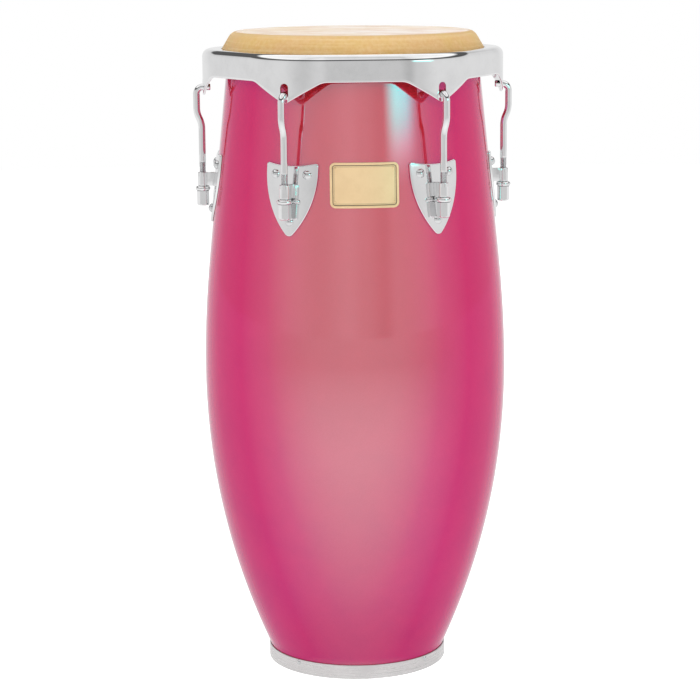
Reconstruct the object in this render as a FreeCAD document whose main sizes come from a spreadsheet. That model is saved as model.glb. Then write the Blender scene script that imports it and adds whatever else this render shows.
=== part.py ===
"""A floor-standing hand drum: a tapered moulded shell, a rawhide head, and a rim drawn down by six hooked lugs.

Millimetres, +Z up. The origin is the middle of the foot, on the floor, and -Y is the front, where the badge is.
Lengths are the Sizes sheet's plain numbers, heights are above the floor and angles are degrees.
"""
import FreeCAD, Part
import math
import os
import Sketcher

doc = FreeCAD.newDocument("hand_drum")
UP = FreeCAD.Vector(0, 0, 1)
LEFT = FreeCAD.Vector(0, 1, 0)

# Driving dimensions
SIZES = {
    # Shell
    "head_height": 762.0,
    "crown_radius": 146.0,
    "belly_height": 360.0,
    "belly_swell": 34.2,
    "foot_inset": 40.3,
    "shoulder_rise": 126.0,
    "shell_wall": 5.0,
    "edge_round": 11.0,
    "edge_bevel": 3.0,
    "collar_wall": 14.0,
    "collar_depth": 33.0,
    "collar_blend": 27.0,
    # Base band
    "band_height": 17.0,
    "band_thickness": 1.8,
    "band_lip": 6.0,
    "band_screw_count": 4.0,
    "band_screw_turn": 45.0,
    "band_screw_drop": 3.6,
    "band_screw_head": 3.0,
    "band_screw_dome": 1.8,
    "band_screw_shank": 1.6,
    "band_screw_length": 10.0,
    # Head
    "skin_thickness": 2.0,
    "skirt_lean": 31.0,
    "skirt_bend": 8.0,
    "skin_tuck": 0.4,
    "hoop_wire": 3.2,
    "hoop_fit": 0.05,
    # Rim
    "rim_drop": 20.0,
    "rim_wall": 3.0,
    "rim_gap": 0.5,
    "rim_seat_gap": 0.3,
    "rim_flat_clearance": 21.0,
    "rim_corner_clearance": 31.5,
    "rim_shoulder": 9.0,
    "apron_depth": 31.0,
    "tab_depth": 54.0,
    "tab_tip": 10.0,
    "tab_root": 48.0,
    "tab_sweep": 20.0,
    "slot_width": 10.0,
    "slot_length": 17.0,
    "slot_margin": 5.0,
    # Lugs
    "lug_count": 6.0,
    "first_lug": -60.0,
    "rod_radius": 4.0,
    "rod_clearance": 33.3,
    "hook_offset": 5.7,
    "hook_length": 16.5,
    "hook_bend": 8.0,
    "hook_gap": 0.1,
    "knee_drop": 24.0,
    "knee_length": 25.0,
    "thread_radius": 3.9,
    "thread_length": 51.0,
    "thread_drop": 11.0,
    # Brackets and tuning nuts
    "bracket_drop": 40.2,
    "bracket_height": 16.2,
    "socket_radius": 6.0,
    "socket_gap": 0.25,
    "web_width": 8.0,
    "nut_face_gap": 0.15,
    "nut_flange": 9.0,
    "nut_flange_height": 5.6,
    "nut_across_flats": 13.0,
    "nut_height": 17.6,
    "nut_nose": 3.0,
    "thread_gap": 0.05,
    # Side plates and what bolts them on
    "plate_drop": 141.0,
    "plate_length": 86.0,
    "plate_shoulder": 10.0,
    "plate_half_width": 32.4,
    "plate_dip": 4.0,
    "plate_thickness": 2.8,
    "plate_ear_round": 3.0,
    "plate_tip_round": 6.5,
    "backing_corner": 5.0,
    "backing_thickness": 2.0,
    "backing_margin": 9.0,
    "high_bolt_drop": 14.0,
    "low_bolt_drop": 67.0,
    "bolt_spread": 19.5,
    "bolt_head": 5.5,
    "bolt_dome": 4.0,
    "bolt_shank": 3.0,
    "bolt_gap": 0.2,
    "bolt_overhang": 2.0,
    "washer_radius": 6.5,
    "washer_thickness": 1.2,
    "bolt_nut_flats": 10.0,
    "bolt_nut_height": 5.0,
    "seat_gap": 0.05,
    # Badge
    "badge_drop": 25.0,
    "badge_half_height": 25.4,
    "badge_half_width": 39.0,
    "badge_corner": 6.0,
    "badge_thickness": 1.0,
    "badge_border": 2.6,
    "badge_border_height": 0.7,
    "pin_inset": 6.5,
    "pin_head": 1.4,
    "pin_dome": 0.9,
    "pin_shank": 0.8,
    "pin_length": 5.0,
    "pin_gap": 0.1,
}

# Places that follow from the driving dimensions
PLACES = {
    "belly_radius": "Sizes.crown_radius + Sizes.belly_swell",
    "foot_radius": "Sizes.crown_radius - Sizes.foot_inset",
    "rim_apothem": "Sizes.crown_radius + Sizes.rim_flat_clearance",
    "rim_reach": "Sizes.crown_radius + Sizes.rim_corner_clearance",
    "rod_reach": "Sizes.crown_radius + Sizes.rod_clearance",
    "hook_reach": "Places.rod_reach + Sizes.hook_offset",
    "plate_top": "Sizes.head_height - Sizes.plate_drop",
    "thread_start": "Places.plate_top - Sizes.thread_drop",
    "bracket_base": "Places.plate_top - Sizes.bracket_drop",
    "high_bolt": "Places.plate_top - Sizes.high_bolt_drop",
    "low_bolt": "Places.plate_top - Sizes.low_bolt_drop",
    "badge_middle": "Places.plate_top - Sizes.badge_drop",
    "edge_top": "Sizes.head_height - Sizes.skin_thickness",
    "edge_centre_height": "Places.edge_top - Sizes.edge_round",
    "edge_centre_radius": "Sizes.crown_radius - Sizes.edge_round",
    "crown_run": "Places.edge_centre_height - Sizes.belly_height",
    "shell_taper": "2 * atan(Sizes.belly_swell / (2 * Places.crown_run - Sizes.shoulder_rise)) / 1deg",
    "taper_slope": "tan(Places.shell_taper)",
    "taper_cosine": "cos(Places.shell_taper)",
    "taper_sine": "sin(Places.shell_taper)",
    "crown_height": "Places.edge_centre_height + Sizes.edge_round * Places.taper_sine",
    "crown_tangent": "Places.edge_centre_radius + Sizes.edge_round * Places.taper_cosine",
    "cone_base": "Places.crown_tangent + Places.taper_slope * Places.crown_height",
    "foot_height": "Sizes.band_thickness",
    "foot_rise": "Sizes.belly_height - Sizes.band_height",
    "foot_swell": "Places.belly_radius - Places.foot_radius",
    "foot_arc": "(Places.foot_swell ^ 2 + Places.foot_rise ^ 2) / (2 * Places.foot_swell)",
    "crown_rise": "Places.crown_height - Sizes.belly_height",
    "crown_arc": "(Places.crown_tangent - Places.belly_radius + Places.taper_slope * Places.crown_rise)"
                 " / (Places.taper_slope * Places.taper_sine - 1 + Places.taper_cosine)",
    "shoulder_height": "Sizes.belly_height + Places.crown_arc * Places.taper_sine",
    "shoulder_radius": "Places.cone_base - Places.taper_slope * Places.shoulder_height",
    "inner_foot_radius": "Places.belly_radius - Places.foot_arc"
                         " + sqrt((Places.foot_arc - Sizes.shell_wall) ^ 2 - Places.foot_rise ^ 2)",
    "inner_base": "Places.cone_base - Sizes.shell_wall / Places.taper_cosine",
    "inner_shoulder_height": "Places.shoulder_height - Sizes.shell_wall * Places.taper_sine",
    "collar_inner": "Sizes.crown_radius - Sizes.collar_wall",
    "collar_low": "Places.edge_top - Sizes.collar_depth",
    "blend_low": "Places.collar_low - Sizes.collar_blend",
    "band_outer": "Places.foot_radius + Sizes.band_thickness",
    "band_screw_height": "Sizes.band_height - Sizes.band_screw_drop",
    "rim_top": "Sizes.head_height - Sizes.rim_drop",
    "flange_underside": "Places.rim_top - Sizes.rim_wall",
    "hoop_height": "Places.flange_underside - Sizes.rim_seat_gap - Sizes.hoop_wire",
    "wrap_inner": "Sizes.hoop_wire + Sizes.hoop_fit",
    "wrap_outer": "Places.wrap_inner + Sizes.skin_thickness",
    "skin_arc": "Sizes.edge_round + Sizes.skin_thickness",
    "skirt_radius": "Places.rim_apothem - Sizes.rim_wall - 2 * Sizes.rim_gap - Sizes.skin_thickness"
                    " - 2 * Places.wrap_inner",
    "skirt_start_radius": "Places.edge_centre_radius + Places.skin_arc * cos(Sizes.skirt_lean)",
    "skirt_start_height": "Places.edge_centre_height + Places.skin_arc * sin(Sizes.skirt_lean)",
    "skirt_foot_height": "Places.skirt_start_height"
                         " - (Places.skirt_radius - Places.skirt_start_radius) / tan(Sizes.skirt_lean)",
    "skirt_tangent": "Sizes.skirt_bend * tan(Sizes.skirt_lean / 2)",
    "hoop_radius": "Places.skirt_radius + Places.wrap_inner",
    "rim_opening": "Places.skirt_radius + Sizes.rim_gap",
    "half_turn": "180 / Sizes.lug_count",
    "rim_corner": "(Places.rim_apothem - Places.rim_reach * cos(Places.half_turn))"
                  " / (1 - cos(Places.half_turn))",
    "rim_corner_centre": "Places.rim_reach - Places.rim_corner",
    "apron_height": "Places.rim_top - Sizes.apron_depth",
    "tab_height": "Places.rim_top - Sizes.tab_depth",
    "tab_tip_height": "Places.tab_height + Sizes.tab_tip",
    "tab_rise": "Places.apron_height - Places.tab_tip_height",
    "tab_drop": "Places.tab_rise - Sizes.tab_sweep",
    "tab_span": "sqrt(Sizes.tab_root ^ 2 + Places.tab_drop ^ 2)",
    "tab_lean": "(asin((Sizes.tab_tip + Sizes.tab_sweep) / Places.tab_span)"
                " + atan(Places.tab_drop / Sizes.tab_root)) / 1deg",
    "tab_neck": "Sizes.tab_tip * sin(Places.tab_lean)",
    "tab_neck_height": "Places.tab_tip_height - Sizes.tab_tip * cos(Places.tab_lean)",
    "tab_hip": "Sizes.tab_root - Sizes.tab_sweep * sin(Places.tab_lean)",
    "tab_hip_height": "Places.apron_height - Sizes.tab_sweep * (1 - cos(Places.tab_lean))",
    "slot_low": "Places.tab_height + Sizes.slot_margin",
    "hook_height": "Places.slot_low + Sizes.rod_radius + Sizes.hook_gap",
    "hook_tip": "Places.hook_reach - Sizes.hook_length",
    "knee_top": "Places.hook_height - Sizes.knee_drop",
    "knee_base": "Places.knee_top - Sizes.knee_length",
    "knee_shift": "Places.hook_reach - Places.rod_reach",
    "knee_bend": "(Places.knee_shift ^ 2 + Sizes.knee_length ^ 2) / (4 * Places.knee_shift)",
    "rod_base": "Places.thread_start - Sizes.thread_length",
    "nut_top": "Places.bracket_base - Sizes.nut_face_gap",
    "nut_flange_base": "Places.nut_top - Sizes.nut_flange_height",
    "nut_base": "Places.nut_flange_base - Sizes.nut_height",
    "nut_corner": "Sizes.nut_across_flats / 2 / cos(30)",
    "plate_side_top": "Places.plate_top - Sizes.plate_shoulder",
    "plate_side_arc": "(Sizes.plate_half_width ^ 2 + (Sizes.plate_length - Sizes.plate_shoulder) ^ 2)"
                      " / (2 * Sizes.plate_half_width)",
    "plate_top_arc": "(Sizes.plate_half_width ^ 2 + Sizes.plate_dip ^ 2) / (2 * Sizes.plate_dip)",
    "plate_tip": "Places.plate_top - Sizes.plate_length",
    "high_bolt_turn": "asin(Sizes.bolt_spread"
                      " / (Places.cone_base - Places.taper_slope * Places.high_bolt)) / 1deg",
    "inner_seat": "Sizes.shell_wall + Sizes.backing_thickness + Sizes.seat_gap"
                  " + Sizes.washer_radius ^ 2 / Sizes.crown_radius / 2",
    "badge_low": "Places.badge_middle - Sizes.badge_half_height",
    "badge_high": "Places.badge_middle + Sizes.badge_half_height",
    "pin_low": "Places.badge_low + Sizes.pin_inset",
    "pin_high": "Places.badge_high - Sizes.pin_inset",
    "pin_turn": "asin((Sizes.badge_half_width - Sizes.pin_inset)"
                " / (Places.cone_base - Places.taper_slope * Places.badge_middle)) / 1deg",
}

parts = {}


def make_sheet(name, cells):
    """Fill a spreadsheet with one aliased cell for each entry."""
    sheet = doc.addObject("Spreadsheet::Sheet", name)
    for row, (alias, content) in enumerate(cells.items(), start=1):
        sheet.set(f"A{row}", alias)
        sheet.set(f"B{row}", content)
        sheet.setAlias(f"B{row}", alias)
    doc.recompute()
    return sheet


sizes = make_sheet("Sizes", {alias: str(number) for alias, number in SIZES.items()})
places = make_sheet("Places", {alias: "=" + formula for alias, formula in PLACES.items()})


def value(formula):
    """Work a formula out to a plain number."""
    result = sizes.evalExpression(formula)
    return float(getattr(result, "Value", result))


def surface(height, proud="0"):
    """Formula for the radius of the shell's upper cone at a height, standing proud along its normal."""
    return f"(Places.cone_base - Places.taper_slope * ({height}) + ({proud}) / Places.taper_cosine)"


def bind(item, **formulas):
    """Tie properties of an object to formulas of the sheets."""
    for name, formula in formulas.items():
        item.setExpression(name.replace("__", "."), formula)
    return item


def origin_plane(body, role):
    """Find one of a body's own origin planes."""
    return next(item for item in body.Origin.OriginFeatures if item.Role == role)


def arc_edge(start, end, radius, clockwise):
    """Arc of under half a turn from start to end."""
    middle = (start + end) / 2
    chord = end - start
    rise = math.sqrt(max(radius ** 2 - (chord.Length / 2) ** 2, 0.0))
    side = FreeCAD.Vector(chord.y, -chord.x, 0).normalize() * (rise if clockwise else -rise)
    centre = middle + side
    first, last = (end, start) if clockwise else (start, end)
    first_angle = math.atan2(first.y - centre.y, first.x - centre.x)
    last_angle = math.atan2(last.y - centre.y, last.x - centre.x)
    return Part.ArcOfCircle(Part.Circle(centre, UP, radius), first_angle, last_angle)


def draw(sketch, corners, closed=True):
    """Draw an outline and tie it to the sheets.

    Each corner is (across, up) or (across, up, radius, sense) as formulas, where the radius bends the edge that
    leaves the corner, clockwise or anticlockwise.
    """
    points = [FreeCAD.Vector(value(corner[0]), value(corner[1]), 0) for corner in corners]
    edge_count = len(corners) if closed else len(corners) - 1
    starts = []
    ends = []
    for index in range(edge_count):
        corner = corners[index]
        start = points[index]
        end = points[(index + 1) % len(points)]
        if len(corner) == 2:
            sketch.addGeometry(Part.LineSegment(start, end), False)
            starts.append(1)
            ends.append(2)
        else:
            clockwise = corner[3] == "clockwise"
            sketch.addGeometry(arc_edge(start, end, value(corner[2]), clockwise), False)
            starts.append(2 if clockwise else 1)
            ends.append(1 if clockwise else 2)
    for index in range(edge_count):
        if closed or index + 1 < edge_count:
            follower = (index + 1) % edge_count
            meeting = (index, ends[index], follower, starts[follower])
            sketch.addConstraint(Sketcher.Constraint("Coincident", *meeting))
    for index, corner in enumerate(corners):
        edge, place = (index, starts[index]) if index < edge_count else (index - 1, ends[index - 1])
        tie(sketch, corner[0], "DistanceX", -1, 1, edge, place)
        tie(sketch, corner[1], "DistanceY", -1, 1, edge, place)
        if len(corner) == 4 and index < edge_count:
            tie(sketch, corner[2], "Radius", index)
    return sketch


def tie(sketch, formula, kind, *where):
    """Add one constraint whose size is a formula."""
    index = sketch.addConstraint(Sketcher.Constraint(kind, *where, value(formula)))
    sketch.setExpression(f"Constraints[{index}]", formula)


def body_sketch(body, name, role, height="0"):
    """Start a sketch on one of a body's origin planes, lifted along the plane's normal."""
    sketch = body.newObject("Sketcher::SketchObject", name)
    sketch.AttachmentSupport = [(origin_plane(body, role), "")]
    sketch.MapMode = "FlatFace"
    bind(sketch, AttachmentOffset__Base__z=height)
    return sketch


def revolved(label, corners):
    """Body turned about +Z from an outline of (radius, height) corners."""
    body = doc.addObject("PartDesign::Body", label)
    sketch = draw(body_sketch(body, label + "_outline", "XZ_Plane"), corners)
    turning = body.newObject("PartDesign::Revolution", label + "_turning")
    turning.Profile = sketch
    turning.ReferenceAxis = (sketch, ["V_Axis"])
    turning.Angle = 360
    return body


def column(label, radius, low, length):
    """Upright cylinder on the local axis."""
    cylinder = doc.addObject("Part::Cylinder", label)
    return bind(cylinder, Radius=radius, Height=length, Placement__Base__z=low)


def hex_bar(label, corner, low, length):
    """Upright hexagonal bar on the local axis."""
    bar = doc.addObject("Part::Prism", label)
    bar.Polygon = 6
    return bind(bar, Circumradius=corner, Height=length, Placement__Base__z=low)


def cone(label, proud, low, high):
    """Solid cone whose side stands proud of the shell's upper cone, between two heights."""
    solid = doc.addObject("Part::Cone", label)
    return bind(solid, Radius1=surface(low, proud), Radius2=surface(high, proud),
                Height=f"({high}) - ({low})", Placement__Base__z=low)


def joined(kind, label, base, tool):
    """Boolean of two objects: Cut, Fuse or Common."""
    result = doc.addObject("Part::" + kind, label)
    result.Base = base
    result.Tool = tool
    return result


def group(label, members):
    """Several objects carried as one."""
    bundle = doc.addObject("Part::Compound", label)
    bundle.Links = members
    return bundle


def planted(label, piece, radius, height, tilt="90"):
    """Piece made along +Z, laid over to stand out from the drum's side at a radius and height."""
    copy = group(label, [piece])
    copy.Placement = FreeCAD.Placement(FreeCAD.Vector(), FreeCAD.Rotation(LEFT, 1))
    return bind(copy, Placement__Base__x=radius, Placement__Base__z=height, Placement__Rotation__Angle=tilt)


def turned(label, piece, turn):
    """Copy of a piece turned about the drum's axis."""
    copy = group(label, [piece])
    copy.Placement = FreeCAD.Placement(FreeCAD.Vector(), FreeCAD.Rotation(UP, 1))
    return bind(copy, Placement__Rotation__Angle=turn)


def on_shell(label, piece, height):
    """Piece stood square on the shell's upper cone."""
    return planted(label, piece, surface(height), height, "90 - Places.shell_taper")


def around(label, piece, first, count):
    """Copies of a piece spread evenly round the drum, as separate solids of one object."""
    total = int(round(value(count)))
    return group(label, [turned(f"{label}_{index + 1}_turn", piece, f"{first} + {index} * 360 / {count}")
                         for index in range(total)])


def node(label, item):
    """Keep an object as a sub-part under its own label."""
    item.Label = label
    parts[label] = item
    return item


lug_total = int(round(value("Sizes.lug_count")))


def lug_copies(label, piece):
    """One sub-part at each lug, from the front right lug round."""
    for index in range(lug_total):
        name = f"{label}_{index + 1}"
        node(name, turned(name, piece, f"Sizes.first_lug + {index} * 360 / Sizes.lug_count"))


def edges_where(shape, test):
    """Names of the edges whose middle point passes a test."""
    chosen = []
    for index, edge in enumerate(shape.Edges, start=1):
        if test(edge.valueAt((edge.FirstParameter + edge.LastParameter) / 2), edge):
            chosen.append(f"Edge{index}")
    return chosen


def rounded(body, feature, label, radius, test):
    """Fillet of a feature's chosen edges."""
    doc.recompute()
    fillet = body.newObject("PartDesign::Fillet", label)
    fillet.Base = (feature, edges_where(feature.Shape, test))
    return bind(fillet, Radius=radius)


def must_cut(feature, before):
    """Stop where a cut has taken nothing away."""
    doc.recompute()
    if feature.Shape.Volume >= before - 1:
        raise RuntimeError(f"{feature.Name} cuts nothing")


PLATE_REACH = "Places.rim_reach * 2"


def curved_plate(label, outline, corner_rounds, low, high, inner, outer):
    """Plate cut from a conical skin between two offsets from the shell, to an outline seen from outside.

    Each corner round is (radius, low, high), for the corners between two heights.
    """
    body = doc.addObject("PartDesign::Body", label + "_blank")
    sketch = draw(body_sketch(body, label + "_outline", "YZ_Plane"), outline)
    pad = body.newObject("PartDesign::Pad", label + "_pad")
    pad.Profile = sketch
    bind(pad, Length=PLATE_REACH)
    feature = pad
    for index, (radius, floor, ceiling) in enumerate(corner_rounds, start=1):
        at_corner = lambda middle, edge: (abs(middle.x - value(PLATE_REACH) / 2) < 1
                                          and value(floor) < middle.z < value(ceiling))
        feature = rounded(body, feature, f"{label}_corners_{index}", radius, at_corner)
    skin = joined("Cut", label + "_skin", cone(label + "_over", outer, low, high),
                  cone(label + "_under", inner, low, high))
    return joined("Common", label + "_plate", skin, body)


# Shell holes: three bolts at each lug, the badge's pins and the base band's screws
bolt_drill = column("bolt_drill", "Sizes.bolt_shank + Sizes.bolt_gap", "-3 * Sizes.collar_wall",
                    "4 * Sizes.collar_wall")
low_drill = on_shell("low_drill", bolt_drill, "Places.low_bolt")
high_drill = on_shell("high_drill", bolt_drill, "Places.high_bolt")
plate_drills = group("plate_drills", [
    low_drill,
    turned("left_drill", high_drill, "Places.high_bolt_turn"),
    turned("right_drill", high_drill, "-Places.high_bolt_turn"),
])
pin_drill = column("pin_drill", "Sizes.pin_shank + Sizes.pin_gap", "-2 * Sizes.pin_length",
                   "4 * Sizes.pin_length")
PIN_CORNERS = (("Places.pin_low", "-1"), ("Places.pin_low", "1"),
               ("Places.pin_high", "-1"), ("Places.pin_high", "1"))


def badge_corners(label, piece):
    """A copy of a piece at each corner of the badge, at the drum's front."""
    copies = []
    for index, (height, side) in enumerate(PIN_CORNERS, start=1):
        stood = on_shell(f"{label}_{index}_stood", piece, height)
        copies.append(turned(f"{label}_{index}", stood, f"-90 + ({side}) * Places.pin_turn"))
    return group(label, copies)


pin_drills = badge_corners("pin_drills", pin_drill)
screw_drill = column("screw_drill", "Sizes.band_screw_shank + Sizes.pin_gap", "-2 * Sizes.band_screw_length",
                     "4 * Sizes.band_screw_length")
screw_drills = around("screw_drills", planted("screw_drill_out", screw_drill, "Places.band_outer",
                                              "Places.band_screw_height"),
                      "Sizes.band_screw_turn", "Sizes.band_screw_count")

# Shell
shell_blank = revolved("shell_blank", [
    ("Places.foot_radius", "Places.foot_height"),
    ("Places.foot_radius", "Sizes.band_height", "Places.foot_arc", "anticlockwise"),
    ("Places.belly_radius", "Sizes.belly_height", "Places.crown_arc", "anticlockwise"),
    ("Places.shoulder_radius", "Places.shoulder_height"),
    ("Places.crown_tangent", "Places.crown_height", "Sizes.edge_round", "anticlockwise"),
    ("Places.edge_centre_radius", "Places.edge_top"),
    ("Places.collar_inner", "Places.edge_top - Sizes.edge_bevel"),
    ("Places.collar_inner", "Places.collar_low"),
    ("Places.inner_base - Places.taper_slope * Places.blend_low", "Places.blend_low"),
    ("Places.inner_base - Places.taper_slope * Places.inner_shoulder_height", "Places.inner_shoulder_height",
     "Places.crown_arc - Sizes.shell_wall", "clockwise"),
    ("Places.belly_radius - Sizes.shell_wall", "Sizes.belly_height",
     "Places.foot_arc - Sizes.shell_wall", "clockwise"),
    ("Places.inner_foot_radius", "Sizes.band_height"),
    ("Places.inner_foot_radius", "Places.foot_height"),
])
shell_drills = group("shell_drills", [around("bolt_drills", plate_drills, "Sizes.first_lug", "Sizes.lug_count"),
                                      pin_drills, screw_drills])
node("shell", joined("Cut", "shell", shell_blank, shell_drills))

# Base band: a rolled ring with a lip under the foot, and its screws
band_blank = revolved("band_blank", [
    ("Places.band_outer - Sizes.band_lip", "0"),
    ("Places.band_outer", "0"),
    ("Places.band_outer", "Sizes.band_height"),
    ("Places.foot_radius", "Sizes.band_height"),
    ("Places.foot_radius", "Places.foot_height"),
    ("Places.band_outer - Sizes.band_lip", "Places.foot_height"),
])
node("base_band", joined("Cut", "base_band", band_blank, screw_drills))


def domed_pin(label, head, dome, shank, length, seat):
    """Fastener with a domed head seated at a height on its own axis, and a plain shank below it."""
    crown = f"({head} ^ 2 + {dome} ^ 2) / (2 * {dome})"
    return revolved(label, [
        ("0", f"{seat} - {length}"),
        (shank, f"{seat} - {length}"),
        (shank, seat),
        (head, seat, crown, "anticlockwise"),
        ("0", f"{seat} + {dome}"),
    ])


band_screw = domed_pin("band_screw", "Sizes.band_screw_head", "Sizes.band_screw_dome", "Sizes.band_screw_shank",
                       "Sizes.band_screw_length", "0")
node("base_band_screws", around("base_band_screws", planted("band_screw_out", band_screw, "Places.band_outer",
                                                            "Places.band_screw_height"),
                                "Sizes.band_screw_turn", "Sizes.band_screw_count"))

# Rawhide head, lapped round its steel hoop
lean = "Sizes.skirt_lean"
inner_bend = "(Sizes.skirt_bend - Sizes.skin_thickness)"
bend_centre_radius = "(Places.skirt_radius - Sizes.skirt_bend)"
bend_centre_height = "(Places.skirt_foot_height - Places.skirt_tangent)"
node("head_skin", revolved("head_skin", [
    ("0", "Sizes.head_height"),
    ("0", "Places.edge_top"),
    ("Places.edge_centre_radius", "Places.edge_top", "Sizes.edge_round", "clockwise"),
    (f"Places.edge_centre_radius + Sizes.edge_round * cos({lean})",
     f"Places.edge_centre_height + Sizes.edge_round * sin({lean})"),
    (f"{bend_centre_radius} + {inner_bend} * cos({lean})",
     f"{bend_centre_height} + {inner_bend} * sin({lean})", inner_bend, "clockwise"),
    ("Places.skirt_radius - Sizes.skin_thickness", bend_centre_height),
    ("Places.skirt_radius - Sizes.skin_thickness", "Places.hoop_height", "Places.wrap_outer", "anticlockwise"),
    ("Places.hoop_radius", "Places.hoop_height - Places.wrap_outer", "Places.wrap_outer", "anticlockwise"),
    ("Places.hoop_radius + Places.wrap_outer", "Places.hoop_height"),
    ("Places.hoop_radius + Places.wrap_outer", "Places.hoop_height + Sizes.skin_tuck"),
    ("Places.hoop_radius + Places.wrap_inner", "Places.hoop_height + Sizes.skin_tuck"),
    ("Places.hoop_radius + Places.wrap_inner", "Places.hoop_height", "Places.wrap_inner", "clockwise"),
    ("Places.hoop_radius", "Places.hoop_height - Places.wrap_inner", "Places.wrap_inner", "clockwise"),
    ("Places.skirt_radius", "Places.hoop_height"),
    ("Places.skirt_radius", bend_centre_height, "Sizes.skirt_bend", "anticlockwise"),
    (f"{bend_centre_radius} + Sizes.skirt_bend * cos({lean})",
     f"{bend_centre_height} + Sizes.skirt_bend * sin({lean})"),
    ("Places.skirt_start_radius", "Places.skirt_start_height", "Places.skin_arc", "anticlockwise"),
    ("Places.edge_centre_radius", "Sizes.head_height"),
]))
flesh_hoop = doc.addObject("Part::Torus", "flesh_hoop")
bind(flesh_hoop, Radius1="Places.hoop_radius", Radius2="Sizes.hoop_wire",
     Placement__Base__z="Places.hoop_height")
node("flesh_hoop", flesh_hoop)


def hexagon(inset):
    """Outline of the rim's rounded hexagon, drawn in by an inset, with a corner at each lug."""
    corners = []
    radius = f"(Places.rim_corner - {inset})"
    for index in range(lug_total):
        turn = f"{index} * 2 * Places.half_turn"
        across = f"Places.rim_corner_centre * cos({turn})"
        up = f"Places.rim_corner_centre * sin({turn})"
        before = f"{turn} - Places.half_turn"
        after = f"{turn} + Places.half_turn"
        corners.append((f"{across} + {radius} * cos({before})", f"{up} + {radius} * sin({before})",
                        radius, "anticlockwise"))
        corners.append((f"{across} + {radius} * cos({after})", f"{up} + {radius} * sin({after})"))
    return corners


def pocket(body, label, sketch, length, upward):
    """Cut a sketch into a body along or against its plane's normal."""
    doc.recompute()
    before = body.Shape.Volume
    cut = body.newObject("PartDesign::Pocket", label)
    cut.Profile = sketch
    cut.Reversed = upward
    bind(cut, Length=length)
    must_cut(cut, before)
    return cut


# Rim: a pressed hexagonal hoop with a rounded shoulder, and a slotted tab at each lug
rim = doc.addObject("PartDesign::Body", "rim")
rim.Placement = FreeCAD.Placement(FreeCAD.Vector(), FreeCAD.Rotation(UP, 1))
bind(rim, Placement__Rotation__Angle="Sizes.first_lug")
rim_low = "(Places.tab_height - Sizes.rim_wall)"
rim_pad = rim.newObject("PartDesign::Pad", "rim_pad")
rim_pad.Profile = draw(body_sketch(rim, "rim_outline", "XY_Plane", rim_low), hexagon("0"))
bind(rim_pad, Length=f"Places.rim_top - {rim_low}")
at_top = lambda middle, edge: abs(middle.z - value("Places.rim_top")) < 0.01
rounded(rim, rim_pad, "rim_shoulders", "Sizes.rim_shoulder", at_top)
rim_hollow = pocket(rim, "rim_hollow",
                    draw(body_sketch(rim, "rim_inside", "XY_Plane", rim_low), hexagon("Sizes.rim_wall")),
                    f"Places.flange_underside - {rim_low}", True)
under_flange = lambda middle, edge: abs(middle.z - value("Places.flange_underside")) < 0.01
rounded(rim, rim_hollow, "rim_inner_shoulders", "Sizes.rim_shoulder - Sizes.rim_wall", under_flange)
opening = body_sketch(rim, "rim_opening", "XY_Plane", "Places.rim_top")
opening.addGeometry(Part.Circle(FreeCAD.Vector(), UP, value("Places.rim_opening")), False)
opening.addConstraint(Sketcher.Constraint("Coincident", 0, 3, -1, 1))
tie(opening, "Places.rim_opening", "Radius", 0)
pocket(rim, "rim_mouth", opening, "Sizes.rim_wall * 2", False)
below = f"{rim_low} - Sizes.rim_wall"
half_flat = "(Places.rim_apothem * sin(Places.half_turn) + Sizes.rim_wall)"
tab_cut = pocket(rim, "tab_cut", draw(body_sketch(rim, "tab_outline", "YZ_Plane"), [
    (f"-{half_flat}", below),
    (half_flat, below),
    (half_flat, "Places.apron_height"),
    ("Sizes.tab_root", "Places.apron_height", "Sizes.tab_sweep", "anticlockwise"),
    ("Places.tab_hip", "Places.tab_hip_height"),
    ("Places.tab_neck", "Places.tab_neck_height", "Sizes.tab_tip", "clockwise"),
    ("0", "Places.tab_height", "Sizes.tab_tip", "clockwise"),
    ("-Places.tab_neck", "Places.tab_neck_height"),
    ("-Places.tab_hip", "Places.tab_hip_height", "Sizes.tab_sweep", "anticlockwise"),
    ("-Sizes.tab_root", "Places.apron_height"),
    (f"-{half_flat}", "Places.apron_height"),
]), "Places.rim_reach * 2", True)
half_slot = "Sizes.slot_width / 2"
slot_cut = pocket(rim, "slot_cut", draw(body_sketch(rim, "slot_outline", "YZ_Plane"), [
    (half_slot, f"Places.slot_low + {half_slot}"),
    (half_slot, f"Places.slot_low + Sizes.slot_length - {half_slot}", half_slot, "anticlockwise"),
    ("0", "Places.slot_low + Sizes.slot_length", half_slot, "anticlockwise"),
    (f"-{half_slot}", f"Places.slot_low + Sizes.slot_length - {half_slot}"),
    (f"-{half_slot}", f"Places.slot_low + {half_slot}", half_slot, "anticlockwise"),
    ("0", "Places.slot_low", half_slot, "anticlockwise"),
]), "Places.rim_reach * 2", True)
tabs = rim.newObject("PartDesign::PolarPattern", "tabs")
tabs.Originals = [tab_cut, slot_cut]
tabs.Axis = (next(item for item in rim.Origin.OriginFeatures if item.Role == "Z_Axis"), [""])
tabs.Angle = 360
bind(tabs, Occurrences="Sizes.lug_count")
rim.Tip = tabs
node("rim", rim)

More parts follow.
